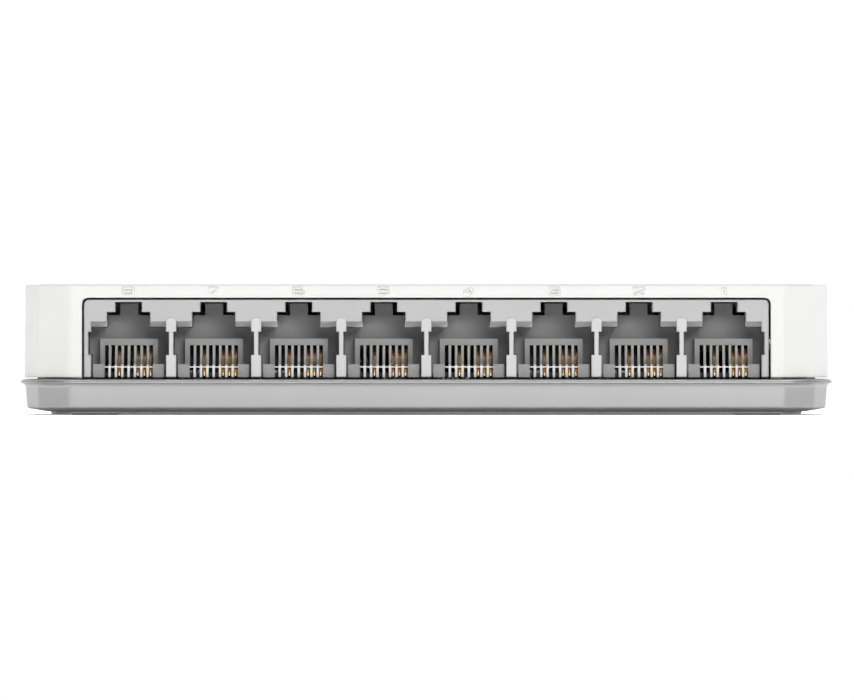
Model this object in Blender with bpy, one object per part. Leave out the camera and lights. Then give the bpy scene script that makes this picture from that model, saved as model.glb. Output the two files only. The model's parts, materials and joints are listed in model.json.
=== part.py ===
"""A desktop network switch: a white cover on a flared grey tray, with a row of jacks in its rear wall.

The rear wall, with the jacks, faces -Y. The front wall, with the lamps, faces +Y. Port 1 is at +X.
All pieces take their places from the row of jacks and from the four outer walls. Lengths are in metres.
"""

import math

import bmesh
import bpy
from mathutils import Vector

MM = 0.001
GAP = 0.3 * MM  # left between two pieces that touch
OVERSHOOT = 1.0 * MM  # how far a cutter runs past what it cuts
OVERLAP = 0.5 * MM  # how far a shape runs into the one that it is joined to
ROUND = 20  # sides of a round piece

# The row of jacks. Heights are above the table.
PORT_COUNT = 8
PORT_PITCH = 13.97 * MM
PORT_WIDTH = 12.26 * MM
JACK_END_WALL = 1.2 * MM
JACK_DEPTH = 16.0 * MM
JACK_RECESS = 0.3 * MM  # from the rear wall's face in to the jacks' faces
SIDE_SLOT_WIDTH = 13.2 * MM
SIDE_SLOT_BOTTOM = 9.9 * MM
SIDE_SLOT_TOP = 13.66 * MM
PLUG_ROOF = 14.5 * MM
MOUTH_ROOF = 15.32 * MM
MOUTH_DEPTH = 3.0 * MM
SHOULDER_WIDTH = 7.08 * MM
SHOULDER_TOP = 16.92 * MM
LATCH_WIDTH = 4.36 * MM
LATCH_TOP = 18.55 * MM
JACK_ROOF = 0.4 * MM
JACK_CORNER = 0.85 * MM
CORNER_POINTS = 4

# The insert that closes each port's back and carries its contacts.
LIP_TOP = 8.34 * MM  # a plug slides in over this lip
LIP_SETBACK = 1.7 * MM
LIP_THICKNESS = 2.5 * MM
INSERT_FLOOR = 0.75 * MM
COMB_WIDTH = 9.52 * MM
COMB_TOP = 12.53 * MM
COMB_SETBACK = 10.3 * MM
COMB_SLOT_TOP = 11.46 * MM
COMB_SLOT_DEPTH = 3.1 * MM
BACK_THICKNESS = 1.9 * MM
BACK_STEP = 0.5 * MM  # how far the back stays below each step of the port's roof
BACK_TONGUE_WIDTH = 2.96 * MM

# The spring contacts. Four of the eight places are fitted.
PIN_PLACES = 8
PIN_PITCH = 1.02 * MM
FITTED_PINS = (1, 2, 3, 6)
SLOT_WIDTH = 0.64 * MM
WIRE_WIDTH = 0.42 * MM
WIRE_SETBACK = 2.35 * MM  # from the jack's face to the wire's upright foot
WIRE_FOOT_RISE = 0.25 * MM  # of the foot's end above the insert's underside
WIRE_BEND_RADIUS = 0.6 * MM
WIRE_BEND_TOP = 7.6 * MM
WIRE_REACH = 9.6 * MM  # from the foot back to the tip
WIRE_SLOPE = math.radians(20.5)
WIRE_BEND_STEPS = 4

# The cover.
SIDE_MARGIN = 9.8 * MM  # from the end of the jacks to the side wall's face
BODY_DEPTH = 73.6 * MM
CORNER_RADIUS = 7.25 * MM  # of the arc whose two chords are a corner's two facets
WALL = 1.8 * MM
CEILING_GAP = 0.65 * MM
CEILING_THICKNESS = 1.88 * MM
TOP_PANEL_RISE = 0.12 * MM
TOP_PANEL_INSET = 2.4 * MM
TOP_EDGE = 0.4 * MM
DRAFT_INSET = 0.13 * MM
COVER_BOTTOM = 6.2 * MM

# The tray. An inset is measured in from the cover's face at its foot.
RIM_DROP = 0.42 * MM
RIM_REACH = 0.65 * MM
RIM_POINTS = 6  # steps round each corner
COVE_BOTTOM = 4.45 * MM
COVE_POINTS = 4
TRAY_INSET_TOP = 0.18 * MM
TRAY_INSET_BOTTOM = 0.42 * MM
TRAY_EDGE = 1.15 * MM
UNDERSIDE_RUN = 3.5 * MM
UNDERSIDE_BOTTOM = 0.58 * MM
PLINTH_INSET = 4.34 * MM
PLINTH_BOTTOM = 0.15 * MM
TRAY_WALL = 2.0 * MM
TRAY_FLOOR = 2.1 * MM
SHELF_BOTTOM = 3.9 * MM
SHELF_RISE = 0.7 * MM
TONGUE_THICKNESS = 0.9 * MM
TONGUE_HEIGHT = 2.7 * MM
NOTCH_RELIEF = 0.2 * MM

# What holds the shells together, and what they stand on.
SCREW_SHANK = 1.3 * MM
SCREW_LENGTH = 8.6 * MM
SCREW_HEAD = 2.5 * MM
SCREW_HEAD_HEIGHT = 1.5 * MM
SCREW_SEAT = 2.6 * MM
SCREW_RECESS_WALL = 1.2 * MM
BOSS_RADIUS = 3.2 * MM
SCREW_BEHIND_JACKS = 30.0 * MM
HOOK_LENGTH = 6.0 * MM
HOOK_REACH = 0.7 * MM
HOOK_RISE = 1.1 * MM
HOOK_HEIGHT = 0.7 * MM
HOOK_SPREAD = 32.0 * MM
FOOT_RADIUS = 4.0 * MM
FOOT_THICKNESS = 0.7 * MM
FOOT_FROM_WALL = 11.5 * MM

# The circuit board and what is soldered to it.
BOARD_THICKNESS = 1.6 * MM
BOARD_SIDE_GAP = 0.5 * MM
STANDOFF_RADIUS = 2.4 * MM
STANDOFF_FROM_SIDE = 22.0 * MM
STANDOFF_FROM_FRONT = 11.0 * MM
PART_SPACE = 2.0 * MM  # between neighbours on the board
CHIP_SIDE = 14.0 * MM
CHIP_HEIGHT = 1.4 * MM
TRANSFORMER_LENGTH = 28.0 * MM
TRANSFORMER_WIDTH = 10.0 * MM
TRANSFORMER_HEIGHT = 6.0 * MM
CRYSTAL_LENGTH = 10.6 * MM
CRYSTAL_WIDTH = 4.2 * MM
CRYSTAL_HEIGHT = 3.5 * MM
CAPACITOR_RADIUS = 3.15 * MM
CAPACITOR_HEIGHT = 9.0 * MM
INDUCTOR_SIDE = 7.0 * MM
INDUCTOR_HEIGHT = 4.2 * MM

# The power socket, behind a hole in the side wall at +X.
SOCKET_LENGTH = 13.0 * MM
SOCKET_WIDTH = 9.0 * MM
SOCKET_HEIGHT = 10.6 * MM
SOCKET_BORE = 3.15 * MM
SOCKET_BORE_DEPTH = 10.0 * MM
SOCKET_HOLE = 4.1 * MM
SOCKET_BEHIND_JACKS = 8.5 * MM
SOCKET_PIN = 1.0 * MM
SOCKET_PIN_SETBACK = 2.2 * MM
LEAF_WIDTH = 2.2 * MM
LEAF_THICKNESS = 0.3 * MM
LEAF_LENGTH = 6.6 * MM
LEAF_REACH = 0.35 * MM  # how far the leaf stands into the bore
LEAF_SETBACK = 1.8 * MM

# The lamps in the front wall: one for power, then one for each port.
LENS_WIDTH = 2.6 * MM
LENS_HEIGHT = 1.5 * MM
LENS_PROUD = 0.1 * MM
LENS_PITCH = 7.0 * MM
LENS_CENTRE = 14.2 * MM
POWER_LENS_SPACE = 12.0 * MM
GUIDE_RAIL_DEPTH = 3.0 * MM
GUIDE_RAIL_HEIGHT = 2.4 * MM
GUIDE_LEG_DEPTH = 1.4 * MM
GUIDE_LEG_WIDTH = 2.0 * MM
LAMP_ROOM = 1.2 * MM  # for the lamps between the legs and the board

# Slots for air.
VENT_WIDTH = 1.6 * MM
VENT_PITCH = 3.3 * MM
VENT_BOTTOM = 10.0 * MM
VENT_TOP = 15.1 * MM
VENT_FROM_FRONT = 12.0 * MM
VENT_FROM_SOCKET = 5.0 * MM
FLOOR_VENT_LENGTH = 15.0 * MM
FLOOR_VENT_PITCH = 5.0 * MM
FLOOR_VENT_COUNT = 9

# Worked out from the values above.
JACK_WIDTH = (PORT_COUNT - 1) * PORT_PITCH + PORT_WIDTH + 2 * JACK_END_WALL
JACK_TOP = LATCH_TOP + JACK_ROOF
JACK_BOTTOM = COVER_BOTTOM
HALF_WIDTH = JACK_WIDTH / 2 + SIDE_MARGIN
HALF_DEPTH = BODY_DEPTH / 2
JACK_FACE = -HALF_DEPTH + JACK_RECESS
JACK_REAR = JACK_FACE + JACK_DEPTH
CEILING = JACK_TOP + CEILING_GAP
COVER_TOP = CEILING + CEILING_THICKNESS
RIM_TOP = COVER_BOTTOM - GAP
RIM_TIP = RIM_TOP - RIM_DROP
FLOOR_TOP = PLINTH_BOTTOM + TRAY_FLOOR
TONGUE_OUTER = WALL + GAP
TONGUE_INNER = TONGUE_OUTER + TONGUE_THICKNESS
TONGUE_TOP = RIM_TOP + TONGUE_HEIGHT
BOARD_INSET = TONGUE_INNER + BOARD_SIDE_GAP
BOARD_TOP = JACK_BOTTOM - GAP
BOARD_BOTTOM = BOARD_TOP - BOARD_THICKNESS
PARTS_BOTTOM = BOARD_TOP + GAP
POST_RADIUS = SCREW_HEAD + GAP + SCREW_RECESS_WALL
SCREW_X = HALF_WIDTH - PLINTH_INSET - POST_RADIUS
SCREW_Y = JACK_REAR + SCREW_BEHIND_JACKS
SCREW_TOP = SCREW_SEAT - GAP + SCREW_LENGTH
FOOT_X = HALF_WIDTH - FOOT_FROM_WALL
FOOT_Y = HALF_DEPTH - FOOT_FROM_WALL
TRANSFORMER_Y = JACK_REAR + PART_SPACE + TRANSFORMER_WIDTH / 2
CHIP_Y = TRANSFORMER_Y + TRANSFORMER_WIDTH / 2 + PART_SPACE + CHIP_SIDE / 2
SOCKET_FACE = HALF_WIDTH - WALL - GAP
SOCKET_Y = JACK_REAR + SOCKET_BEHIND_JACKS
SOCKET_CENTRE = PARTS_BOTTOM + SOCKET_HEIGHT / 2
LEAF_HINGE = SOCKET_FACE - LEAF_SETBACK - LEAF_LENGTH
LEAF_Y = SOCKET_Y - SOCKET_BORE + LEAF_REACH
INSERT_BOTTOM = JACK_BOTTOM
INSERT_FLOOR_TOP = INSERT_BOTTOM + INSERT_FLOOR
INSERT_HALF_WIDTH = PORT_WIDTH / 2 - GAP
BACK_FACE = JACK_REAR - BACK_THICKNESS
LIP_FACE = JACK_FACE + LIP_SETBACK
LIP_REAR = LIP_FACE + LIP_THICKNESS
COMB_FACE = JACK_FACE + COMB_SETBACK
BEND_Y = JACK_FACE + WIRE_SETBACK + WIRE_BEND_RADIUS
BEND_Z = WIRE_BEND_TOP - WIRE_WIDTH / 2 - WIRE_BEND_RADIUS
VENT_FIRST = HALF_DEPTH - VENT_FROM_FRONT
VENT_LAST = SOCKET_Y + SOCKET_HOLE + VENT_FROM_SOCKET
VENT_COUNT = int((VENT_FIRST - VENT_LAST) / VENT_PITCH) + 1


def port_centre(number):
    """Port 1 is the last one towards +X."""
    return ((PORT_COUNT + 1) / 2 - number) * PORT_PITCH


def pin_offset(pin):
    """Pin 1 is the last place towards +X."""
    return ((PIN_PLACES + 1) / 2 - pin) * PIN_PITCH


def lens_centres():
    """The power lamp first, at +X, then the ports' lamps in their order."""
    ports = [((PORT_COUNT + 1) / 2 - number) * LENS_PITCH for number in range(1, PORT_COUNT + 1)]
    return [ports[0] + POWER_LENS_SPACE] + ports


def clear_scene():
    for obj in list(bpy.data.objects):
        bpy.data.objects.remove(obj)


def material(name, colour, roughness, metallic=0.0):
    made = bpy.data.materials.new(name)
    made.use_nodes = True
    shader = made.node_tree.nodes["Principled BSDF"]
    shader.inputs["Base Color"].default_value = (*colour, 1.0)
    shader.inputs["Roughness"].default_value = roughness
    shader.inputs["Metallic"].default_value = metallic
    return made


# Meshes.


def mesh_data(name, build, *values):
    """A mesh made by build(bm, ...), with its doubles merged and its faces turned outwards."""
    bm = bmesh.new()
    build(bm, *values)
    bmesh.ops.remove_doubles(bm, verts=bm.verts, dist=1e-7)
    bmesh.ops.recalc_face_normals(bm, faces=bm.faces)
    data = bpy.data.meshes.new(name)
    bm.to_mesh(data)
    bm.free()
    data.shade_smooth()
    data.set_sharp_from_angle(angle=math.radians(35))
    return data


def add_loft(bm, rings):
    """A closed solid through rings of the same number of points, with a flat face at each end."""
    loops = [[bm.verts.new(point) for point in ring] for ring in rings]
    bm.faces.new(loops[0])
    bm.faces.new(loops[-1])
    for first, second in zip(loops, loops[1:]):
        for i in range(len(first)):
            bm.faces.new((first[i - 1], first[i], second[i], second[i - 1]))


def add_box(bm, x, y, z):
    """x, y and z are each a pair: where the box starts and ends."""
    corners = [(x[0], y[0]), (x[1], y[0]), (x[1], y[1]), (x[0], y[1])]
    add_loft(bm, [[(u, v, height) for u, v in corners] for height in z])


def add_boxes(bm, boxes):
    for box in boxes:
        add_box(bm, *box)


def add_rod(bm, axis, centre, radius, ends):
    """A round bar along X or Z. centre holds the other two coordinates."""
    angles = [math.tau * i / ROUND for i in range(ROUND)]
    circle = [(centre[0] + radius * math.cos(a), centre[1] + radius * math.sin(a)) for a in angles]
    if axis == "X":
        add_loft(bm, [[(end, u, v) for u, v in circle] for end in ends])
    else:
        add_loft(bm, [[(u, v, end) for u, v in circle] for end in ends])


def add_rods(bm, rods):
    for rod in rods:
        add_rod(bm, *rod)


def middle(centre, size):
    return (centre - size / 2, centre + size / 2)


# Objects.


def piece(name, data, finish, location=(0, 0, 0)):
    obj = bpy.data.objects.new(name, data)
    obj.location = location
    if not data.materials:
        data.materials.append(finish)
    bpy.context.scene.collection.objects.link(obj)
    return obj


def tool(target, operation, name, build, *values):
    """Joins a shape to an object, or cuts it out of it. The tool itself is only a guide."""
    guide = bpy.data.objects.new(name, mesh_data(name, build, *values))
    guide.hide_render = True
    guide.display_type = "WIRE"
    bpy.context.scene.collection.objects.link(guide)
    modifier = target.modifiers.new(name, "BOOLEAN")
    modifier.operation = operation
    modifier.object = guide
    modifier.solver = "EXACT"


def cut(target, name, build, *values):
    tool(target, "DIFFERENCE", name, build, *values)


def join(target, name, build, *values):
    tool(target, "UNION", name, build, *values)


def finished_mesh(target):
    """The mesh that an object's modifiers make, for copies to share. The object is removed."""
    graph = bpy.context.evaluated_depsgraph_get()
    data = bpy.data.meshes.new_from_object(target.evaluated_get(graph))
    guides = [modifier.object for modifier in target.modifiers]
    bpy.data.objects.remove(target)
    for guide in guides:
        bpy.data.objects.remove(guide)
    return data


# Outlines.


def plan_ring(inset, z, steps=2, facet=1.0):
    """The body's outline in plan, moved in by inset. Each corner is two facets, or at facet 0 their arc."""
    radius = CORNER_RADIUS - inset
    ring = []
    for quarter in range(4):
        centre = Vector(((HALF_WIDTH - CORNER_RADIUS) * (1 if quarter in (0, 3) else -1),
                         (HALF_DEPTH - CORNER_RADIUS) * (1 if quarter in (0, 1) else -1)))
        for i in range(steps + 1):
            turn = quarter + i / steps
            chord = min(int(turn * 2), quarter * 2 + 1) / 2
            start = Vector((math.cos(chord * math.pi / 2), math.sin(chord * math.pi / 2)))
            end = Vector((math.cos((chord + 0.5) * math.pi / 2), math.sin((chord + 0.5) * math.pi / 2)))
            on_facet = start.lerp(end, (turn - chord) * 2)
            on_arc = Vector((math.cos(turn * math.pi / 2), math.sin(turn * math.pi / 2)))
            point = centre + on_arc.lerp(on_facet, facet) * radius
            ring.append((point.x, point.y, z))
    return ring


def arch_outline(half_width, bottom, top, radius):
    """From one foot over the top to the other, with rounded shoulders: pairs of x and z."""
    angles = [math.pi / 2 * i / CORNER_POINTS for i in range(CORNER_POINTS + 1)]
    left = [(radius - half_width - radius * math.cos(a), top - radius + radius * math.sin(a)) for a in angles]
    return [(-half_width, bottom)] + left + [(-x, z) for x, z in reversed(left)] + [(half_width, bottom)]


def add_arch(bm, half_width, bottom, top, radius, ends):
    outline = arch_outline(half_width, bottom, top, radius)
    add_loft(bm, [[(x, y, z) for x, z in outline] for y in ends])


def port_outline(centre, roof):
    """One port, from its foot at +X over the latch's keyway to its foot at -X."""
    half = [(PORT_WIDTH / 2, JACK_BOTTOM), (PORT_WIDTH / 2, SIDE_SLOT_BOTTOM),
            (SIDE_SLOT_WIDTH / 2, SIDE_SLOT_BOTTOM), (SIDE_SLOT_WIDTH / 2, SIDE_SLOT_TOP),
            (PORT_WIDTH / 2, SIDE_SLOT_TOP), (PORT_WIDTH / 2, roof),
            (SHOULDER_WIDTH / 2, roof), (SHOULDER_WIDTH / 2, SHOULDER_TOP),
            (LATCH_WIDTH / 2, SHOULDER_TOP), (LATCH_WIDTH / 2, LATCH_TOP)]
    return [(centre + x, z) for x, z in half] + [(centre - x, z) for x, z in reversed(half)]


# The shells.


def add_cover_shell(bm):
    """Up the inside of the ceiling, down the inner wall, and back up the outer wall to the top panel."""
    shoulder = COVER_TOP - TOP_PANEL_RISE
    add_loft(bm, [
        plan_ring(WALL, CEILING),
        plan_ring(WALL, COVER_BOTTOM),
        plan_ring(0, COVER_BOTTOM),
        plan_ring(DRAFT_INSET, shoulder - TOP_EDGE),
        plan_ring(DRAFT_INSET + TOP_EDGE, shoulder),
        plan_ring(TOP_PANEL_INSET, shoulder),
        plan_ring(TOP_PANEL_INSET + TOP_EDGE, COVER_TOP),
    ])


def side_vents():
    boxes = []
    for side in (-1, 1):
        x = sorted((side * (HALF_WIDTH - WALL - OVERSHOOT), side * (HALF_WIDTH + OVERSHOOT)))
        for i in range(VENT_COUNT):
            boxes.append((x, middle(VENT_FIRST - i * VENT_PITCH, VENT_WIDTH), (VENT_BOTTOM, VENT_TOP)))
    return boxes


def make_cover(finish):
    cover = piece("top_cover", mesh_data("top_cover", add_cover_shell), finish)
    boss_ends = (BOARD_TOP + GAP, CEILING + OVERLAP)
    join(cover, "screw_bosses", add_rods,
         [("Z", (side * SCREW_X, SCREW_Y), BOSS_RADIUS, boss_ends) for side in (-1, 1)])
    hole_ends = (BOARD_TOP - OVERSHOOT, SCREW_TOP + GAP)
    cut(cover, "screw_holes", add_rods,
        [("Z", (side * SCREW_X, SCREW_Y), SCREW_SHANK + GAP, hole_ends) for side in (-1, 1)])
    cut(cover, "jack_window", add_arch, JACK_WIDTH / 2 + GAP, COVER_BOTTOM - OVERSHOOT, JACK_TOP + GAP,
        JACK_CORNER + GAP, (-HALF_DEPTH - OVERSHOOT, -HALF_DEPTH + WALL + OVERSHOOT))
    cut(cover, "socket_hole", add_rod, "X", (SOCKET_Y, SOCKET_CENTRE), SOCKET_HOLE,
        (HALF_WIDTH - WALL - OVERSHOOT, HALF_WIDTH + OVERSHOOT))
    cut(cover, "side_vents", add_boxes, side_vents())
    cut(cover, "lamp_windows", add_boxes,
        [(middle(x, LENS_WIDTH + 2 * GAP), (HALF_DEPTH - WALL - OVERSHOOT, HALF_DEPTH + OVERSHOOT),
          middle(LENS_CENTRE, LENS_HEIGHT + 2 * GAP)) for x in lens_centres()])
    hook_bottom = RIM_TOP + HOOK_RISE - GAP
    cut(cover, "hook_pockets", add_boxes,
        [(middle(x, HOOK_LENGTH + 2 * GAP),
          (HALF_DEPTH - WALL - OVERSHOOT, HALF_DEPTH - TONGUE_OUTER + HOOK_REACH + GAP),
          (hook_bottom, hook_bottom + HOOK_HEIGHT + 2 * GAP)) for x in (-HOOK_SPREAD, HOOK_SPREAD)])


def add_tray_shell(bm):
    """From the floor up the inner wall, over the tongue, out to the rim and down the outside."""
    steps = RIM_POINTS
    rings = [
        plan_ring(TRAY_INSET_BOTTOM + TRAY_WALL, FLOOR_TOP, steps),
        plan_ring(TRAY_INSET_BOTTOM + TRAY_WALL, SHELF_BOTTOM, steps),
        plan_ring(TONGUE_INNER, SHELF_BOTTOM + SHELF_RISE, steps),
        plan_ring(TONGUE_INNER, TONGUE_TOP, steps),
        plan_ring(TONGUE_OUTER, TONGUE_TOP, steps),
        plan_ring(TONGUE_OUTER, RIM_TOP, steps),
        plan_ring(0, RIM_TOP, steps, facet=0),
    ]
    for i in range(COVE_POINTS + 1):
        turn = math.pi / 2 * i / COVE_POINTS
        inset = (RIM_REACH + TRAY_INSET_TOP) * math.sin(turn) - RIM_REACH
        height = COVE_BOTTOM + (RIM_TIP - COVE_BOTTOM) * math.cos(turn)
        rings.append(plan_ring(inset, height, steps, facet=math.sin(turn)))
    rings += [
        plan_ring(TRAY_INSET_BOTTOM, TRAY_EDGE, steps),
        plan_ring(TRAY_INSET_BOTTOM + UNDERSIDE_RUN, UNDERSIDE_BOTTOM, steps),
        plan_ring(PLINTH_INSET, UNDERSIDE_BOTTOM, steps),
        plan_ring(PLINTH_INSET, PLINTH_BOTTOM, steps),
    ]
    add_loft(bm, rings)


def make_tray(finish):
    tray = piece("base_tray", mesh_data("base_tray", add_tray_shell), finish)
    post_ends = (FLOOR_TOP - OVERLAP, BOARD_TOP)
    join(tray, "screw_posts", add_rods,
         [("Z", (side * SCREW_X, SCREW_Y), POST_RADIUS, post_ends) for side in (-1, 1)])
    standoff_ends = (FLOOR_TOP - OVERLAP, BOARD_BOTTOM - GAP)
    standoff_x = HALF_WIDTH - STANDOFF_FROM_SIDE
    join(tray, "standoffs", add_rods,
         [("Z", (side * standoff_x, y), STANDOFF_RADIUS, standoff_ends)
          for side in (-1, 1) for y in (JACK_REAR - JACK_DEPTH / 2, HALF_DEPTH - STANDOFF_FROM_FRONT)])
    hook_y = (HALF_DEPTH - TONGUE_INNER + TONGUE_THICKNESS / 2, HALF_DEPTH - TONGUE_OUTER + HOOK_REACH)
    hook_bottom = RIM_TOP + HOOK_RISE
    join(tray, "hooks", add_boxes,
         [(middle(x, HOOK_LENGTH), hook_y, (hook_bottom, hook_bottom + HOOK_HEIGHT))
          for x in (-HOOK_SPREAD, HOOK_SPREAD)])
    notch_z = (RIM_TOP - NOTCH_RELIEF, TONGUE_TOP + OVERSHOOT)
    cut(tray, "jack_notch", add_box, middle(0, JACK_WIDTH + 2 * GAP),
        (-HALF_DEPTH + WALL / 2, -HALF_DEPTH + TONGUE_INNER + OVERSHOOT), notch_z)
    cut(tray, "socket_notch", add_box, (HALF_WIDTH - TONGUE_INNER - OVERSHOOT, HALF_WIDTH - WALL / 2),
        middle(SOCKET_Y, SOCKET_WIDTH + 2 * GAP), notch_z)
    cut(tray, "screw_recesses", add_rods,
        [("Z", (side * SCREW_X, SCREW_Y), SCREW_HEAD + GAP, (PLINTH_BOTTOM - OVERSHOOT, SCREW_SEAT))
         for side in (-1, 1)])
    cut(tray, "screw_clearances", add_rods,
        [("Z", (side * SCREW_X, SCREW_Y), SCREW_SHANK + GAP, (SCREW_SEAT - OVERLAP, BOARD_TOP + OVERSHOOT))
         for side in (-1, 1)])
    cut(tray, "foot_recesses", add_rods,
        [("Z", (side * FOOT_X, end * FOOT_Y), FOOT_RADIUS + GAP,
          (PLINTH_BOTTOM - OVERSHOOT, FOOT_THICKNESS + GAP)) for side in (-1, 1) for end in (-1, 1)])
    cut(tray, "floor_vents", add_boxes,
        [(middle((i - (FLOOR_VENT_COUNT - 1) / 2) * FLOOR_VENT_PITCH, VENT_WIDTH),
          middle(CHIP_Y, FLOOR_VENT_LENGTH), (PLINTH_BOTTOM - OVERSHOOT, FLOOR_TOP + OVERSHOOT))
         for i in range(FLOOR_VENT_COUNT)])


def make_screws(finish):
    for name, side in (("screw_left", -1), ("screw_right", 1)):
        centre = (side * SCREW_X, SCREW_Y)
        seat = SCREW_SEAT - GAP
        shank = mesh_data(name, add_rod, "Z", centre, SCREW_SHANK, (seat - OVERLAP, SCREW_TOP))
        screw = piece(name, shank, finish)
        join(screw, name + "_head", add_rod, "Z", centre, SCREW_HEAD, (seat - SCREW_HEAD_HEIGHT, seat))


def make_feet(finish):
    for end_name, end in (("rear", -1), ("front", 1)):
        for side_name, side in (("left", -1), ("right", 1)):
            name = f"foot_{end_name}_{side_name}"
            centre = (side * FOOT_X, end * FOOT_Y)
            piece(name, mesh_data(name, add_rod, "Z", centre, FOOT_RADIUS, (0, FOOT_THICKNESS)), finish)


# The circuit board and its parts.


def add_board(bm):
    add_loft(bm, [plan_ring(BOARD_INSET, z) for z in (BOARD_BOTTOM, BOARD_TOP)])


def make_board(finish):
    board = piece("circuit_board", mesh_data("circuit_board", add_board), finish)
    notch_depth = SCREW_X - POST_RADIUS - BOARD_SIDE_GAP
    cut(board, "post_notches", add_boxes,
        [(sorted((side * notch_depth, side * HALF_WIDTH)), middle(SCREW_Y, 2 * (POST_RADIUS + BOARD_SIDE_GAP)),
          (BOARD_BOTTOM - OVERSHOOT, BOARD_TOP + OVERSHOOT)) for side in (-1, 1)])


def make_board_parts(chip, plastic, can, sleeve):
    def box_part(name, finish, x, y, size):
        height = (PARTS_BOTTOM, PARTS_BOTTOM + size[2])
        piece(name, mesh_data(name, add_box, middle(x, size[0]), middle(y, size[1]), height), finish)

    box_part("switch_chip", chip, 0, CHIP_Y, (CHIP_SIDE, CHIP_SIDE, CHIP_HEIGHT))
    transformer = (TRANSFORMER_LENGTH, TRANSFORMER_WIDTH, TRANSFORMER_HEIGHT)
    transformer_x = PORT_COUNT / 4 * PORT_PITCH
    box_part("transformer_left", plastic, -transformer_x, TRANSFORMER_Y, transformer)
    box_part("transformer_right", plastic, transformer_x, TRANSFORMER_Y, transformer)
    crystal_x = -CHIP_SIDE / 2 - PART_SPACE - CRYSTAL_LENGTH / 2
    box_part("crystal", can, crystal_x, CHIP_Y, (CRYSTAL_LENGTH, CRYSTAL_WIDTH, CRYSTAL_HEIGHT))
    capacitor_x = SOCKET_FACE - SOCKET_LENGTH + CAPACITOR_RADIUS
    capacitor_y = SOCKET_Y + SOCKET_WIDTH / 2 + PART_SPACE + CAPACITOR_RADIUS
    height = (PARTS_BOTTOM, PARTS_BOTTOM + CAPACITOR_HEIGHT)
    piece("capacitor", mesh_data("capacitor", add_rod, "Z", (capacitor_x, capacitor_y), CAPACITOR_RADIUS,
                                 height), sleeve)
    inductor_x = capacitor_x - CAPACITOR_RADIUS - PART_SPACE - INDUCTOR_SIDE / 2
    box_part("inductor", chip, inductor_x, capacitor_y, (INDUCTOR_SIDE, INDUCTOR_SIDE, INDUCTOR_HEIGHT))


# The jacks.


def add_jack_block(bm):
    """The outline runs over the top and back along the bottom, in and out of each port."""
    over = arch_outline(JACK_WIDTH / 2, JACK_BOTTOM, JACK_TOP, JACK_CORNER)
    rings = []
    for y, roof in ((JACK_FACE, MOUTH_ROOF), (JACK_FACE + MOUTH_DEPTH, PLUG_ROOF), (JACK_REAR, PLUG_ROOF)):
        outline = list(over)
        for number in range(1, PORT_COUNT + 1):
            outline += port_outline(port_centre(number), roof)
        rings.append([(x, y, z) for x, z in outline])
    add_loft(bm, rings)


def add_insert_back(bm):
    ear = SIDE_SLOT_WIDTH / 2 - GAP
    half = [(INSERT_HALF_WIDTH, INSERT_BOTTOM), (INSERT_HALF_WIDTH, SIDE_SLOT_BOTTOM + GAP),
            (ear, SIDE_SLOT_BOTTOM + GAP), (ear, SIDE_SLOT_TOP - GAP),
            (INSERT_HALF_WIDTH, SIDE_SLOT_TOP - GAP), (INSERT_HALF_WIDTH, PLUG_ROOF - BACK_STEP),
            (SHOULDER_WIDTH / 2 - GAP, PLUG_ROOF - BACK_STEP),
            (SHOULDER_WIDTH / 2 - GAP, SHOULDER_TOP - BACK_STEP),
            (BACK_TONGUE_WIDTH / 2, SHOULDER_TOP - BACK_STEP), (BACK_TONGUE_WIDTH / 2, LATCH_TOP - BACK_STEP)]
    outline = half + [(-x, z) for x, z in reversed(half)]
    add_loft(bm, [[(x, y, z) for x, z in outline] for y in (BACK_FACE, JACK_REAR)])


def add_insert_base(bm):
    """The floor with the lip at its front, as one outline seen from the side."""
    outline = [(LIP_FACE, INSERT_BOTTOM), (LIP_FACE, LIP_TOP), (LIP_REAR, LIP_TOP),
               (LIP_REAR, INSERT_FLOOR_TOP), (BACK_FACE + OVERLAP, INSERT_FLOOR_TOP),
               (BACK_FACE + OVERLAP, INSERT_BOTTOM)]
    add_loft(bm, [[(x, y, z) for y, z in outline] for x in (-INSERT_HALF_WIDTH, INSERT_HALF_WIDTH)])


def make_insert_mesh(finish):
    insert = piece("insert", mesh_data("insert", add_insert_back), finish)
    join(insert, "insert_base", add_insert_base)
    join(insert, "comb", add_box, middle(0, COMB_WIDTH), (COMB_FACE, BACK_FACE + OVERLAP),
         (INSERT_FLOOR_TOP - OVERLAP, COMB_TOP))
    places = [pin_offset(pin) for pin in range(1, PIN_PLACES + 1)]
    cut(insert, "lip_slots", add_boxes,
        [(middle(x, SLOT_WIDTH), (LIP_FACE - OVERSHOOT, LIP_REAR + OVERLAP),
          (INSERT_BOTTOM - OVERSHOOT, LIP_TOP + OVERSHOOT)) for x in places])
    cut(insert, "comb_slots", add_boxes,
        [(middle(x, SLOT_WIDTH), (COMB_FACE - OVERSHOOT, COMB_FACE + COMB_SLOT_DEPTH),
          (INSERT_FLOOR_TOP + GAP, COMB_SLOT_TOP)) for x in places])
    return finished_mesh(insert)


def wire_path():
    """Up the foot, round the bend about the origin, and back along the slope: pairs of y and z."""
    foot = INSERT_BOTTOM + WIRE_FOOT_RISE - BEND_Z
    path = [(-WIRE_BEND_RADIUS, foot)]
    for i in range(WIRE_BEND_STEPS + 1):
        turn = (math.pi / 2 - WIRE_SLOPE) * i / WIRE_BEND_STEPS
        path.append((-WIRE_BEND_RADIUS * math.cos(turn), WIRE_BEND_RADIUS * math.sin(turn)))
    run = WIRE_REACH - WIRE_BEND_RADIUS - path[-1][0]
    path.append((path[-1][0] + run, path[-1][1] + run * math.tan(WIRE_SLOPE)))
    return path


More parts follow.
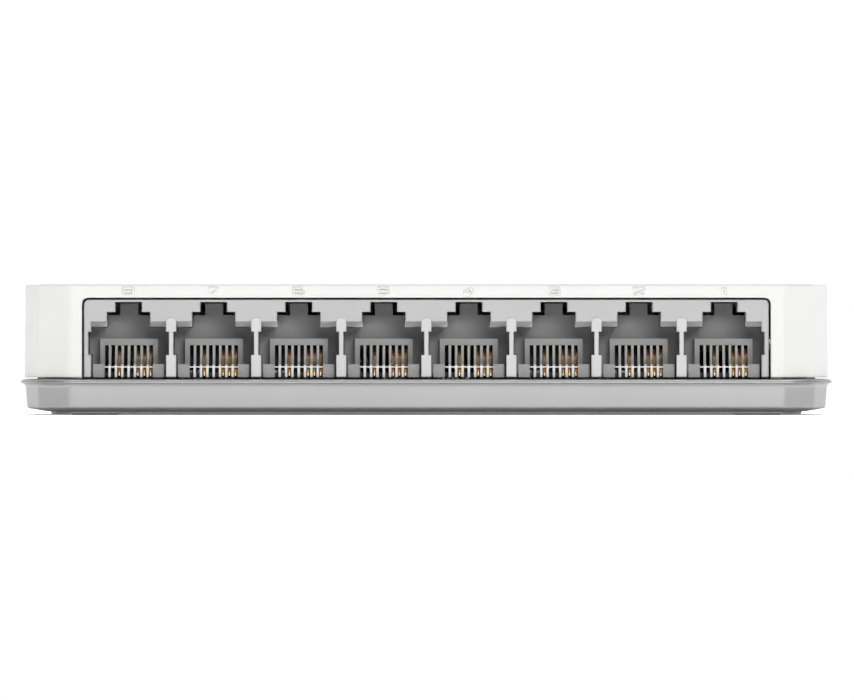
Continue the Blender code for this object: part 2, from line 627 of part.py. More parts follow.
def add_wire(bm):
    """A square wire. Each ring lies across the path, along the line that halves its turn there."""
    path = [Vector(point) for point in wire_path()]
    half = WIRE_WIDTH / 2
    rings = []
    for i, point in enumerate(path):
        ahead = (path[min(i + 1, len(path) - 1)] - path[max(i - 1, 0)]).normalized()
        across = Vector((-ahead.y, ahead.x)) * half
        low, high = point - across, point + across
        rings.append([(-half, low.x, low.y), (half, low.x, low.y),
                      (half, high.x, high.y), (-half, high.x, high.y)])
    add_loft(bm, rings)


def make_jacks(housing_finish, insert_finish, contact_finish):
    piece("jack_housing", mesh_data("jack_housing", add_jack_block), housing_finish)
    insert_mesh = make_insert_mesh(insert_finish)
    wire_mesh = mesh_data("wire", add_wire)
    for number in range(1, PORT_COUNT + 1):
        x = port_centre(number)
        piece(f"contact_insert_{number}", insert_mesh, insert_finish, (x, 0, 0))
        for pin in FITTED_PINS:
            piece(f"contact_{number}_pin_{pin}", wire_mesh, contact_finish, (x + pin_offset(pin), BEND_Y, BEND_Z))


# The power socket.


def make_socket(plastic, metal):
    body = piece("socket_body", mesh_data("socket_body", add_box, (SOCKET_FACE - SOCKET_LENGTH, SOCKET_FACE),
                                          middle(SOCKET_Y, SOCKET_WIDTH),
                                          (PARTS_BOTTOM, PARTS_BOTTOM + SOCKET_HEIGHT)), plastic)
    centre = (SOCKET_Y, SOCKET_CENTRE)
    bore_bottom = SOCKET_FACE - SOCKET_BORE_DEPTH
    cut(body, "bore", add_rod, "X", centre, SOCKET_BORE, (bore_bottom, SOCKET_FACE + OVERSHOOT))
    cut(body, "pin_hole", add_rod, "X", centre, SOCKET_PIN + GAP,
        (SOCKET_FACE - SOCKET_LENGTH - OVERSHOOT, bore_bottom + OVERLAP))
    leaf_end = LEAF_HINGE + LEAF_LENGTH
    cut(body, "leaf_slot", add_box, (LEAF_HINGE - LEAF_THICKNESS - GAP, leaf_end + GAP),
        (SOCKET_Y - SOCKET_WIDTH / 2 - OVERSHOOT, LEAF_Y), middle(SOCKET_CENTRE, LEAF_WIDTH + 2 * GAP))
    piece("socket_pin", mesh_data("socket_pin", add_rod, "X", centre, SOCKET_PIN,
                                  (SOCKET_FACE - SOCKET_LENGTH + GAP, SOCKET_FACE - SOCKET_PIN_SETBACK)), metal)
    leaf = mesh_data("socket_leaf", add_box, (0, LEAF_LENGTH), (-LEAF_THICKNESS, 0),
                     middle(0, LEAF_WIDTH))
    piece("socket_leaf", leaf, metal, (LEAF_HINGE, LEAF_Y, SOCKET_CENTRE))


# The lamps' light guide.


def make_light_guide(finish):
    centres = lens_centres()
    rail_face = HALF_DEPTH - WALL - GAP
    rail_back = rail_face - GUIDE_RAIL_DEPTH
    rail_x = (min(centres) - LENS_WIDTH, max(centres) + LENS_WIDTH)
    rail = mesh_data("light_guide", add_box, rail_x, (rail_back, rail_face),
                     middle(LENS_CENTRE, GUIDE_RAIL_HEIGHT))
    guide = piece("light_guide", rail, finish)
    join(guide, "lenses", add_boxes,
         [(middle(x, LENS_WIDTH), (rail_face - OVERLAP, HALF_DEPTH + LENS_PROUD), middle(LENS_CENTRE, LENS_HEIGHT))
          for x in centres])
    leg_z = (BOARD_TOP + LAMP_ROOM, LENS_CENTRE - GUIDE_RAIL_HEIGHT / 2 + OVERLAP)
    leg_y = (rail_back - OVERLAP, rail_back - OVERLAP + GUIDE_LEG_DEPTH)
    join(guide, "legs", add_boxes, [(middle(x, GUIDE_LEG_WIDTH), leg_y, leg_z) for x in centres])


def main():
    clear_scene()
    white_plastic = material("white_plastic", (0.84, 0.84, 0.83), 0.42)
    grey_plastic = material("grey_plastic", (0.52, 0.52, 0.52), 0.45)
    jack_plastic = material("jack_plastic", (0.58, 0.58, 0.57), 0.4)
    insert_plastic = material("insert_plastic", (0.3, 0.3, 0.3), 0.45)
    contact_gold = material("contact_gold", (0.83, 0.6, 0.28), 0.25, 1.0)
    nickel = material("nickel", (0.7, 0.69, 0.66), 0.25, 1.0)
    black_plastic = material("black_plastic", (0.02, 0.02, 0.022), 0.4)
    chip_epoxy = material("chip_epoxy", (0.03, 0.03, 0.03), 0.6)
    board_green = material("board_green", (0.03, 0.2, 0.08), 0.35)
    capacitor_sleeve = material("capacitor_sleeve", (0.02, 0.03, 0.06), 0.3)
    lamp_clear = material("lamp_clear", (0.8, 0.85, 0.8), 0.15)
    foot_rubber = material("foot_rubber", (0.05, 0.05, 0.05), 0.85)
    screw_zinc = material("screw_zinc", (0.6, 0.6, 0.58), 0.35, 1.0)

    make_cover(white_plastic)
    make_tray(grey_plastic)
    make_screws(screw_zinc)
    make_feet(foot_rubber)
    make_board(board_green)
    make_board_parts(chip_epoxy, black_plastic, nickel, capacitor_sleeve)
    make_jacks(jack_plastic, insert_plastic, contact_gold)
    make_socket(black_plastic, nickel)
    make_light_guide(lamp_clear)


main()
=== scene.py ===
# %% [markdown]
# # A desktop network switch, piece by piece
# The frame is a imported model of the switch: every piece is there, at its real size, with plain surfaces.
# This lesson makes the surfaces that a person sees. Each cell takes its places from the frame, so that
# nothing has to be fitted afterwards. Lengths are worked out in millimetres and stored in metres.

# %% Load the frame
import json
import math

import bmesh
import bpy
import numpy as np
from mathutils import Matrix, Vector

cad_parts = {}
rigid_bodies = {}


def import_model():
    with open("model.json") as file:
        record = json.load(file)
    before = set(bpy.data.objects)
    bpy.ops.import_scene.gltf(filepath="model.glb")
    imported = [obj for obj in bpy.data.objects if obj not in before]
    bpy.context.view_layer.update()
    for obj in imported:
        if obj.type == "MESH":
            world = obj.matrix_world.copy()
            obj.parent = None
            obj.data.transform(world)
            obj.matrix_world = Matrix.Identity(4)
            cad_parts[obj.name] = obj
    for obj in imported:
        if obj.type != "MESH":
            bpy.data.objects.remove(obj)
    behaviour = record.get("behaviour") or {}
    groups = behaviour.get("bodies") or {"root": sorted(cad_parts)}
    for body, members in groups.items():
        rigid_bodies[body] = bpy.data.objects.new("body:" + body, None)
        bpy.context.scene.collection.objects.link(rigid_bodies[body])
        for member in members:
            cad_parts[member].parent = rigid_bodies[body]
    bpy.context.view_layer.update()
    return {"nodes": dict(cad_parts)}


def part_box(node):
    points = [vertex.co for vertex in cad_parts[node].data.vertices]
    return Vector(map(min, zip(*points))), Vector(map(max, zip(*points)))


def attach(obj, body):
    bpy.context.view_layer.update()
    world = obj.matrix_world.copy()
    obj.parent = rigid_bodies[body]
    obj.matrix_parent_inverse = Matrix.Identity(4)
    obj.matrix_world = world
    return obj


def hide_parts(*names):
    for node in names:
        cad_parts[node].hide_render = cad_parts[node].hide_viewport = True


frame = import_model()
MM = 0.001


def limits(node):
    """A node's lowest and highest corner, in millimetres."""
    low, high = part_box(node)
    return np.array(low) / MM, np.array(high) / MM


cover_low, cover_high = limits("top_cover")
tray_low, tray_high = limits("base_tray")
print("cover", np.round(cover_high - cover_low, 2), "tray", np.round(tray_high - tray_low, 2))

# %% [markdown]
# ## Surfaces from numbers
# Nearly every piece here is a stack of closed outlines, joined ring to ring and closed at both ends. The
# rings could be extruded by hand in Blender, but as arrays they can be computed from a few sizes. A corner
# of an outline is rounded by leaving each side a little early and crossing over on a short curve.

# %% Outlines and lofts
OUTLINE_END = 0.49  # a rounding takes at most this share of a side


def rounded(corners, radii, steps=5, closed=False):
    """The corners joined by straight sides, each corner replaced by a quadratic curve.

    The curve starts a radius before the corner, ends a radius after it and bends towards it.
    """
    corners = np.asarray(corners, float)
    radii = np.broadcast_to(np.asarray(radii, float), len(corners))
    share = np.linspace(0, 1, steps + 1)[:, None]
    pieces = []
    for i, (corner, radius) in enumerate(zip(corners, radii)):
        if radius == 0 or (not closed and i in (0, len(corners) - 1)):
            pieces.append(corner[None])
            continue
        before, after = corners[i - 1] - corner, corners[(i + 1) % len(corners)] - corner
        reach_before = min(radius, OUTLINE_END * np.linalg.norm(before[:2]))
        reach_after = min(radius, OUTLINE_END * np.linalg.norm(after[:2]))
        start = corner + before / np.linalg.norm(before[:2]) * reach_before
        end = corner + after / np.linalg.norm(after[:2]) * reach_after
        pieces.append((1 - share) ** 2 * start + 2 * share * (1 - share) * corner + share ** 2 * end)
    return np.concatenate(pieces)


def grow(outline, amount):
    """A closed outline with every side moved outwards by amount, its corners mitred.

    A corner moves along the sum of its two sides' normals, divided by one plus their dot product.
    """
    ahead = np.roll(outline, -1, axis=0) - outline
    ahead /= np.linalg.norm(ahead, axis=1, keepdims=True)
    area = np.sum(outline[:, 0] * np.roll(outline[:, 1], -1) - np.roll(outline[:, 0], -1) * outline[:, 1])
    normal = np.stack([ahead[:, 1], -ahead[:, 0]], axis=1) * np.sign(area)
    before = np.roll(normal, 1, axis=0)
    both = normal + before
    return outline + amount * both / (1 + np.sum(normal * before, axis=1, keepdims=True))


def grid_faces(rows, columns):
    """Quads between neighbouring rows of a grid whose rows close on themselves."""
    row = np.arange(rows - 1)[:, None] * columns
    column = np.arange(columns)[None, :]
    beside = (column + 1) % columns
    quads = np.stack([row + column, row + beside, row + columns + beside, row + columns + column], axis=-1)
    return quads.reshape(-1, 4)


def loft(rings):
    """Vertices and faces of the closed solid through rings of equal length, with a flat cap at each end."""
    rings = np.asarray(rings, float)
    rows, columns = rings.shape[:2]
    faces = grid_faces(rows, columns).tolist()
    faces += [list(range(columns)), list(range((rows - 1) * columns, rows * columns))]
    return rings.reshape(-1, 3), faces


def along(axis, outline, place):
    """A plane outline set across an axis at a place: its two columns become the other two coordinates."""
    return np.insert(outline, axis, place, axis=1)


def gather(parts):
    """Several solids as one list of vertices and faces."""
    points, faces, start = [], [], 0
    for part_points, part_faces in parts:
        points.append(part_points)
        faces += [[start + i for i in face] for face in part_faces]
        start += len(part_points)
    return np.concatenate(points), faces


square = along(2, rounded([(-1, -1), (1, -1), (1, 1), (-1, 1)], 0.3, closed=True), 0)
print("a rounded square has", len(square), "points; grown by 1 it spans",
      round(float(np.ptp(grow(square[:, :2], 1)[:, 0])), 3))

# %% [markdown]
# ## From numbers to pieces
# A piece is a mesh object at the origin, with its place in its vertices. Windows and slots are cut with
# closed shapes and the exact Boolean solver, and the result is kept as a plain mesh. Small edges catch the
# light on moulded plastic, so a square-edged solid gets a narrow Bevel. Weighted normals keep the flat
# walls flat in shading beside those narrow roundings.

# %% Objects, cuts and edges
SHARP_TURN = math.radians(33)


def new_object(name, solid, finish=None):
    points, faces = solid
    mesh = bpy.data.meshes.new(name)
    mesh.from_pydata((points * MM).tolist(), [], faces)
    bm = bmesh.new()
    bm.from_mesh(mesh)
    bmesh.ops.remove_doubles(bm, verts=bm.verts, dist=1e-7)
    bmesh.ops.recalc_face_normals(bm, faces=bm.faces)
    bm.to_mesh(mesh)
    bm.free()
    if finish is not None:
        mesh.materials.append(finish)
    obj = bpy.data.objects.new(name, mesh)
    bpy.context.scene.collection.objects.link(obj)
    return obj


def keep_result(obj):
    """Replaces an object's mesh by what its modifiers make of it."""
    graph = bpy.context.evaluated_depsgraph_get()
    made = bpy.data.meshes.new_from_object(obj.evaluated_get(graph))
    obj.modifiers.clear()
    obj.data = made


def carve(obj, solids, operation="DIFFERENCE"):
    helpers = [new_object("helper", solid) for solid in solids]
    for helper in helpers:
        modifier = obj.modifiers.new("carve", "BOOLEAN")
        modifier.operation = operation
        modifier.object = helper
        modifier.solver = "EXACT"
    keep_result(obj)
    for helper in helpers:
        bpy.data.objects.remove(helper)


def soften_edges(obj, width, segments=2):
    modifier = obj.modifiers.new("edges", "BEVEL")
    modifier.width = width * MM
    modifier.segments = segments
    modifier.limit_method = "ANGLE"
    modifier.angle_limit = SHARP_TURN
    modifier.use_clamp_overlap = True
    keep_result(obj)


def settle(obj, slot, body, *nodes):
    """Shades a piece, hangs it on its body and lets it stand for the nodes that it replaces."""
    obj.data.shade_smooth()
    obj.data.set_sharp_from_angle(angle=SHARP_TURN)
    modifier = obj.modifiers.new("flat_walls", "WEIGHTED_NORMAL")
    modifier.keep_sharp = True
    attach(obj, body)
    if nodes:
        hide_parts(*nodes)
    return obj


def quarter_round(size, steps):
    """Pairs of numbers that round off a corner at (0, 0): a quarter circle from (0, size) to (size, 0)."""
    turn = np.linspace(0, math.pi / 2, steps + 1)
    return list(zip(size * (1 - np.cos(turn)), size * (1 - np.sin(turn))))


def extruded(axis, outline, ends):
    """A solid along an axis with the same outline at both ends."""
    return loft([along(axis, outline, place) for place in ends])


def stacked(axis, outline, rows):
    """A solid along an axis through one outline: each row is how much it is grown there, and the place."""
    return loft([along(axis, grow(outline, growth), place) for growth, place in rows])


def hole_rows(face, inwards, rounding, far):
    """Rows of growth and place for a cutter that enters a wall at face and rounds the hole's edge.

    Outside the wall the cutter is one rounding wider. Inside it narrows along a quarter circle.
    """
    rows = [(growth, face + inwards * depth) for depth, growth in quarter_round(rounding, 4)]
    return [(rounding, face - inwards)] + rows + [(0, far)]


def hole_cutter(axis, outline, face, inwards, rounding, far):
    """A cutter along an axis with this outline, its edge rounded where it enters the wall at face."""
    return stacked(axis, outline, hole_rows(face, inwards, rounding, far))


def box_outline(first, second, radius, steps=4):
    """A rectangle with rounded corners. first and second are each a pair: where it starts and ends."""
    corners = [(first[0], second[0]), (first[1], second[0]), (first[1], second[1]), (first[0], second[1])]
    return rounded(corners, radius, steps, closed=True)


def circle(centre, radius, sides=48):
    turn = np.linspace(0, math.tau, sides, endpoint=False)
    return np.stack([centre[0] + radius * np.cos(turn), centre[1] + radius * np.sin(turn)], axis=1)


def turned(axis, centre, profile, sides=48):
    """A solid of revolution about a line along an axis: profile holds pairs of radius and place."""
    return loft([along(axis, circle(centre, radius, sides), place) for radius, place in profile])


def rod(axis, centre, radius, ends, sides=48):
    return turned(axis, centre, [(radius, place) for place in ends], sides)


def middle(centre, size):
    return (centre - size / 2, centre + size / 2)


def slab(x, y, z):
    """A box from three pairs of limits."""
    return extruded(2, [(x[0], y[0]), (x[1], y[0]), (x[1], y[1]), (x[0], y[1])], z)


def cross(centre, length, width, z):
    """Two slabs across each other, to cut a cross into a round top."""
    x, y = centre
    return [slab(middle(x, width), middle(y, length), z), slab(middle(x, length), middle(y, width), z)]


print("a hole's edge:", [(round(float(g), 2), round(float(p), 2)) for g, p in hole_rows(0, 1, 0.3, 2)])

# %% [markdown]
# ## Writing finishes as sums
# A finish is a small graph of shader nodes. Wiring it by hand hides what it does, so a socket is wrapped
# in a class that understands +, - and *, and one method adds every other kind of node.


# %% A class for sockets and one for finishes
class Signal:
    """An output socket that adds the Math nodes of the sums it is used in."""

    def __init__(self, finish, socket):
        self.finish = finish
        self.socket = socket

    def sum(self, operation, first, second):
        return self.finish.node("Math", {"operation": operation}, {0: first, 1: second})

    def __add__(self, other):
        return self.sum("ADD", self, other)

    def __sub__(self, other):
        return self.sum("SUBTRACT", self, other)

    def __rsub__(self, other):
        return self.sum("SUBTRACT", other, self)

    def __mul__(self, other):
        return self.sum("MULTIPLY", self, other)

    __radd__ = __add__
    __rmul__ = __mul__


class Finish:
    """One material. Its principled shader takes plain numbers on its own sockets."""

    def __init__(self, name, colour, roughness, metallic=0.0, **fixed):
        self.material = bpy.data.materials.new(name)
        self.material.use_nodes = True
        self.tree = self.material.node_tree
        self.shader = self.tree.nodes["Principled BSDF"]
        self.put(self.shader.inputs["Base Color"], (*colour, 1.0))
        self.put(self.shader.inputs["Roughness"], roughness)
        self.put(self.shader.inputs["Metallic"], metallic)
        for socket, value in fixed.items():
            self.put(self.shader.inputs[socket.replace("_", " ")], value)
        self.place = self.node("TexCoord", output="Object")

    def put(self, socket, value):
        if isinstance(value, Signal):
            self.tree.links.new(value.socket, socket)
        else:
            socket.default_value = value

    def node(self, kind, settings=None, inputs=None, output=0):
        node = self.tree.nodes.new("ShaderNode" + kind)
        for name, value in (settings or {}).items():
            if name == "stops":
                for i, (position, colour) in enumerate(value):
                    stop = node.color_ramp.elements[i] if i < 2 else node.color_ramp.elements.new(position)
                    stop.position = position
                    stop.color = colour
            else:
                setattr(node, name, value)
        for name, value in (inputs or {}).items():
            self.put(node.inputs[name], value)
        return Signal(self, node.outputs[output])

    def speckle(self, size, detail=3.0, stretch=(1, 1, 1)):
        """Noise from 0 to 1 in grains of about size millimetres, longer where stretch is small."""
        scaled = self.node("Mapping", inputs={"Vector": self.place, "Scale": stretch}, output="Vector")
        return self.node("TexNoise", {"noise_dimensions": "3D"},
                         {"Vector": scaled, "Scale": 1 / (size * MM), "Detail": detail}, output="Fac")

    def tint(self, mask, dark, light):
        """Base colour between two colours. The mask is spread over them from 0.3 to 0.7."""
        colour = self.node("ValToRGB", {"stops": [(0.3, (*dark, 1)), (0.7, (*light, 1))]}, {"Fac": mask},
                           output="Color")
        self.put(self.shader.inputs["Base Color"], colour)

    def gloss(self, value):
        self.put(self.shader.inputs["Roughness"], value)

    def relief(self, height, depth, strength=1.0):
        """Bump from a height of 0 to 1, depth millimetres deep."""
        normal = self.node("Bump", inputs={"Height": height, "Distance": depth * MM, "Strength": strength},
                           output="Normal")
        self.put(self.shader.inputs["Normal"], normal)


# %% [markdown]
# ## The moulded plastics
# The two shells are moulded in tools with a fine spark-eroded texture: grains of a tenth of a millimetre,
# too small to see one by one, that turn a gloss into a satin sheen. So each plastic gets grain as relief,
# a little unevenness in its sheen, and a colour that drifts by a per cent or two over centimetres.

# %% Plastics
WHITE = (0.73, 0.73, 0.72)
TRAY_GREY = (0.36, 0.36, 0.365)
JACK_GREY = (0.45, 0.45, 0.446)
# The noses' grey is the block's own grey painted lighter: a painted highlight.
NOSE_PAINTED_HIGHLIGHT_GREY = (0.56, 0.56, 0.555)
INSERT_GREY = (0.42, 0.42, 0.42)
# The back plates' grey is the insert's grey painted darker: painted shade for the deep tunnel.
BACK_PAINTED_SHADE_GREY = (0.30, 0.30, 0.30)
# The ribs' grey is the insert's grey painted much lighter: a painted highlight for the light on their
# slopes.
RIB_PAINTED_HIGHLIGHT_GREY = (0.76, 0.76, 0.75)


def shaded(colour, factor):
    return tuple(channel * factor for channel in colour)


def moulded(name, colour, roughness, grain, drift=0.02, metallic=0.0, depth=0.012):
    finish = Finish(name, colour, roughness, metallic)
    cloud = finish.speckle(18, 2.0)
    finish.tint(cloud, shaded(colour, 1 - drift), shaded(colour, 1 + drift))
    fine = finish.speckle(grain, 2.0)
    broad = finish.speckle(6, 1.0)
    finish.gloss(fine * 0.10 + broad * 0.06 + (roughness - 0.08))
    finish.relief(fine, depth, 0.5)
    return finish.material


white_plastic = moulded("white_plastic", WHITE, 0.34, 0.16)
silver_plastic = moulded("silver_plastic", TRAY_GREY, 0.36, 0.14, metallic=0.65)
jack_plastic = moulded("jack_plastic", JACK_GREY, 0.45, 0.22, 0.03)
# A lighter copy of the jack plastic for the partition noses: painted highlight.
nose_painted_highlight_plastic = moulded("nose_painted_highlight_plastic", NOSE_PAINTED_HIGHLIGHT_GREY, 0.45, 0.22, 0.03)
insert_plastic = moulded("insert_plastic", INSERT_GREY, 0.5, 0.2, 0.04)
# A darker copy of the insert plastic for the back plates: painted shade.
back_painted_shade_plastic = moulded("back_painted_shade_plastic", BACK_PAINTED_SHADE_GREY, 0.5, 0.2, 0.05)
# A lighter copy of the insert plastic for the ribs and bars: painted highlight.
rib_painted_highlight_plastic = moulded("rib_painted_highlight_plastic", RIB_PAINTED_HIGHLIGHT_GREY, 0.4, 0.2, 0.03)
black_plastic = moulded("black_plastic", (0.018, 0.018, 0.02), 0.38, 0.2, 0.06)
foot_rubber = moulded("foot_rubber", (0.03, 0.03, 0.031), 0.78, 0.3, 0.12, depth=0.03)
chip_epoxy = moulded("chip_epoxy", (0.028, 0.028, 0.03), 0.55, 0.12, 0.08)
print("plastics:", [m.name for m in bpy.data.materials if m.name.endswith("plastic")])

# %% [markdown]
# ## The metals and the rest
# Contact wire is drawn through a die and plated, so its faint scratches run along it. The tinned and
# zinc-plated parts are duller and cloudier. The board is green lacquer over copper, and the lamps' light
# guide is clear plastic, a little frosted inside.


# %% Metals, board, sleeve and light guide
def plated(name, colour, roughness, stretch, streak):
    finish = Finish(name, colour, roughness, 1.0)
    lines = finish.speckle(streak, 2.0, stretch)
    cloud = finish.speckle(1.5, 3.0)
    finish.tint(cloud, shaded(colour, 0.86), shaded(colour, 1.04))
    finish.gloss(lines * 0.14 + cloud * 0.08 + (roughness - 0.1))
    finish.relief(lines, 0.004, 0.4)
    return finish.material


contact_gold = plated("contact_gold", (0.95, 0.58, 0.24), 0.24, (1, 0.06, 0.06), 0.05)
nickel = plated("nickel", (0.68, 0.66, 0.62), 0.24, (0.08, 1, 1), 0.08)
tin = plated("tin", (0.66, 0.66, 0.65), 0.36, (1, 1, 1), 0.2)
screw_zinc = plated("screw_zinc", (0.58, 0.58, 0.56), 0.34, (1, 1, 0.3), 0.12)


def make_board_finish():
    """Lacquer over copper: traces run along X or Y in patches, and stand a few hundredths proud."""
    finish = Finish("board_green", (0.02, 0.16, 0.06), 0.3)
    along_x = finish.node("TexWave", {"bands_direction": "X"},
                          {"Vector": finish.place, "Scale": 90.0, "Distortion": 0.0}, output="Fac")
    along_y = finish.node("TexWave", {"bands_direction": "Y"},
                          {"Vector": finish.place, "Scale": 90.0, "Distortion": 0.0}, output="Fac")
    patch = finish.node("Math", {"operation": "GREATER_THAN"}, {0: finish.speckle(12, 0.0), 1: 0.5})
    lines = along_x * patch + along_y * (1 - patch)
    trace = finish.node("Math", {"operation": "GREATER_THAN"}, {0: lines, 1: 0.72})
    finish.tint(trace * 0.4 + 0.3, (0.012, 0.11, 0.04), (0.03, 0.24, 0.085))
    finish.gloss(finish.speckle(0.5) * 0.1 + 0.22)
    finish.relief(trace, 0.02, 0.6)
    return finish.material


def make_lamp_finish():
    finish = Finish("lamp_clear", (0.86, 0.9, 0.88), 0.2, Transmission_Weight=0.75, IOR=1.49)
    cloud = finish.speckle(0.8)
    finish.tint(cloud, (0.78, 0.83, 0.80), (0.9, 0.93, 0.91))
    finish.gloss(cloud * 0.2 + 0.1)
    return finish.material


def make_sleeve_finish():
    finish = Finish("capacitor_sleeve", (0.015, 0.02, 0.05), 0.25)
    wrinkle = finish.speckle(1.2, 2.0, (1, 1, 0.2))
    finish.tint(wrinkle, (0.012, 0.016, 0.04), (0.02, 0.03, 0.07))
    finish.gloss(wrinkle * 0.2 + 0.15)
    finish.relief(wrinkle, 0.03, 0.5)
    return finish.material


board_green = make_board_finish()
lamp_clear = make_lamp_finish()
capacitor_sleeve = make_sleeve_finish()
print("finishes made:", len(bpy.data.materials))

# %% [markdown]
# ## The body's outline
# Seen from above, both shells are one rectangle whose corners are two facets each, not an arc. Measured
# from a corner's centre, each wall and each facet is a straight line, and the nearest line is the surface.
# A soft minimum of the distances gives the same outline with its four edges a corner slightly rounded.

# %% The outline in plan
CORNER_RADIUS = 7.25
FACET_TURNS = np.radians([22.5, 67.5])
WALL_TURNS = np.radians([0, 90])
EDGE_SHARPNESS = 11.0
half_body = cover_high[:2]
near_edges = np.concatenate([np.linspace(turn - 6, turn + 6, 7) for turn in (0, 45, 90)])
on_facets = np.concatenate([np.linspace(turn - 12, turn + 12, 5) for turn in (22.5, 67.5)])
TURNS = np.radians(np.sort(np.concatenate([near_edges, on_facets])))


def corner_reach(radius, facet):
    """The outline's distance from a corner's centre, for each of TURNS.

    Faceted: minus the logarithm of the sum of exp(-k d) over k, where d is the distance to each line: its
    offset over the cosine of the angle to its normal. Round: the radius, and the wall's line past the arc.
    """
    normals = np.concatenate([WALL_TURNS, FACET_TURNS])
    offsets = radius * np.array([1, 1, math.cos(FACET_TURNS[0]), math.cos(FACET_TURNS[0])])
    cosines = np.maximum(np.cos(TURNS[:, None] - normals), 0.05)
    distances = offsets / cosines
    nearest = distances.min(axis=1)
    spread = np.exp(-EDGE_SHARPNESS * (distances - nearest[:, None])).sum(axis=1)
    faceted = nearest - np.log(spread) / EDGE_SHARPNESS
    past = np.maximum(np.maximum(-TURNS, TURNS - math.pi / 2), 0)
    return facet * faceted + (1 - facet) * radius / np.cos(past)


def plan(inset, height, facet=1.0):
    """The body's outline moved in by inset, at a height: an array of points in order."""
    reach = corner_reach(CORNER_RADIUS - inset, facet)
    quarters = []
    for quarter in range(4):
        centre = (half_body - CORNER_RADIUS) * ((1, 1), (-1, 1), (-1, -1), (1, -1))[quarter]
        turns = TURNS + quarter * math.pi / 2
        quarters.append(centre + reach[:, None] * np.stack([np.cos(turns), np.sin(turns)], axis=1))
    return along(2, np.concatenate(quarters), height)


def shell(profile, radii, steps=5):
    """A shell of revolution round the body's outline: each row is an inset, a height and a facet share."""
    return loft([plan(*row) for row in rounded(profile, radii, steps)])


print("points round the body:", len(plan(0, 0)))

# %% [markdown]
# ## The cover
# One white moulding: four walls with a touch of draft, so that it leaves the tool, and a top that rises
# very slightly inside a frame. One closed profile is carried round the outline: down the inner wall, round
# the bottom edge, up the outer wall and in over the top.

# %% The cover's walls
WALL = 1.8
DRAFT = 0.13
PANEL_RISE = 0.12
PANEL_INSET = 2.4
CEILING = 19.6
cover_top = cover_high[2]
shoulder = cover_top - PANEL_RISE
cover_profile = [(WALL, CEILING, 1), (WALL, cover_low[2], 1), (0, cover_low[2], 1), (DRAFT, shoulder, 1),
                 (PANEL_INSET, shoulder, 1), (PANEL_INSET + 0.4, cover_top, 1), (4.0, cover_top, 1)]
cover = new_object("cover", shell(cover_profile, [0, 0.15, 0.22, 0.32, 0.2, 0.25, 0]), white_plastic)
BOSS_RADIUS = 3.2
screw_low, screw_high = limits("screw_right")
screw_x, screw_y = ((screw_low + screw_high) / 2)[:2]
screw_places = [(-screw_x, screw_y), (screw_x, screw_y)]
boss_ends = (cover_low[2], CEILING + 0.5)
carve(cover, [rod(2, place, BOSS_RADIUS, boss_ends) for place in screw_places], "UNION")
print("cover walls:", len(cover.data.polygons), "faces")

# %% [markdown]
# The cover's windows: one for the row of jacks, one each for the lamps and the power plug, slots for air
# in the two ends, and pockets for the tray's hooks. A moulded edge is never sharp, so each cutter is a
# little wider outside the wall and narrows along a quarter circle as it goes in.

# %% The cover's windows
GAP = 0.3
VENT_WIDTH, VENT_PITCH, VENT_COUNT = 1.6, 3.3, 9
VENT_FIRST, VENT_BOTTOM, VENT_TOP = 24.8, 10.0, 15.1
jack_low, jack_high = limits("jack_housing")
guide_low, guide_high = limits("light_guide")
socket_low, socket_high = limits("socket_body")
socket_centre = ((socket_low + socket_high) / 2)[1:]
LENS_WIDTH, LENS_HEIGHT, LENS_PITCH, POWER_LENS_SPACE = 2.6, 1.5, 7.0, 12.0
LENS_PLAY, LENS_EDGE = 0.24, 0.12
SOCKET_HOLE_RADIUS, SOCKET_HOLE_EDGE, WINDOW_EDGE, VENT_EDGE = 4.1, 0.35, 0.3, 0.25
HOOK_X, HOOK_WIDTH, POCKET_WIDTH, POCKET_Z, POCKET_DEPTH = 32, 6.0, 6.6, (6.7, 8.0), 0.7
SCREW_HOLE, SCREW_HOLE_TOP = 1.6, 11.2
MIDDLE_NUMBER = 4.5  # halfway between 1 and 8, for the ports and for a port's pins
lens_z = 14.2
port_lenses = [(MIDDLE_NUMBER - number) * LENS_PITCH for number in range(1, 9)]
lens_places = [port_lenses[0] + POWER_LENS_SPACE] + port_lenses
end_wall, front_wall = half_body

window_x, window_top = jack_high[0] + GAP, jack_high[2] + GAP
window = rounded([(-window_x, 4), (-window_x, window_top), (window_x, window_top), (window_x, 4)],
                 [0, 1.15, 1.15, 0], 6, closed=True)
socket_hole = circle(socket_centre, SOCKET_HOLE_RADIUS)
cutters = [hole_cutter(1, window, -front_wall, 1, WINDOW_EDGE, -front_wall + WALL + 1),
           hole_cutter(0, socket_hole, end_wall, -1, SOCKET_HOLE_EDGE, end_wall - WALL - 1)]
for side in (-1, 1):
    for i in range(VENT_COUNT):
        vent = box_outline(middle(VENT_FIRST - i * VENT_PITCH, VENT_WIDTH), (VENT_BOTTOM, VENT_TOP), 0.5)
        cutters.append(hole_cutter(0, vent, side * end_wall, -side, VENT_EDGE, side * (end_wall - WALL - 1)))
for x in lens_places:
    lens_hole = box_outline(middle(x, LENS_WIDTH + LENS_PLAY), middle(lens_z, LENS_HEIGHT + LENS_PLAY), 0.3)
    cutters.append(hole_cutter(1, lens_hole, front_wall - 0.06, -1, LENS_EDGE, front_wall - WALL - 1))
for side, place in zip((-1, 1), screw_places):
    pocket = box_outline(middle(side * HOOK_X, POCKET_WIDTH), POCKET_Z, 0.1)
    cutters.append(extruded(1, pocket, (front_wall - WALL - 1, front_wall - WALL + POCKET_DEPTH)))
    cutters.append(rod(2, place, SCREW_HOLE, (cover_low[2] - 1, SCREW_HOLE_TOP), 24))
carve(cover, [gather(cutters)])
settle(cover, "white_plastic", "root", "top_cover")
print("cover with its windows:", len(cover.data.polygons), "faces")

# %% [markdown]
# ## The numbers over the ports
# The tool leaves plain raised numbers, 1 to 8, on the wall above the jacks. Each is a low ridge with
# sloping sides, carried along a few straight sides with rounded corners. A font would bring serifs and
# hundreds of faces, and these numbers are only about a millimetre and a half tall.


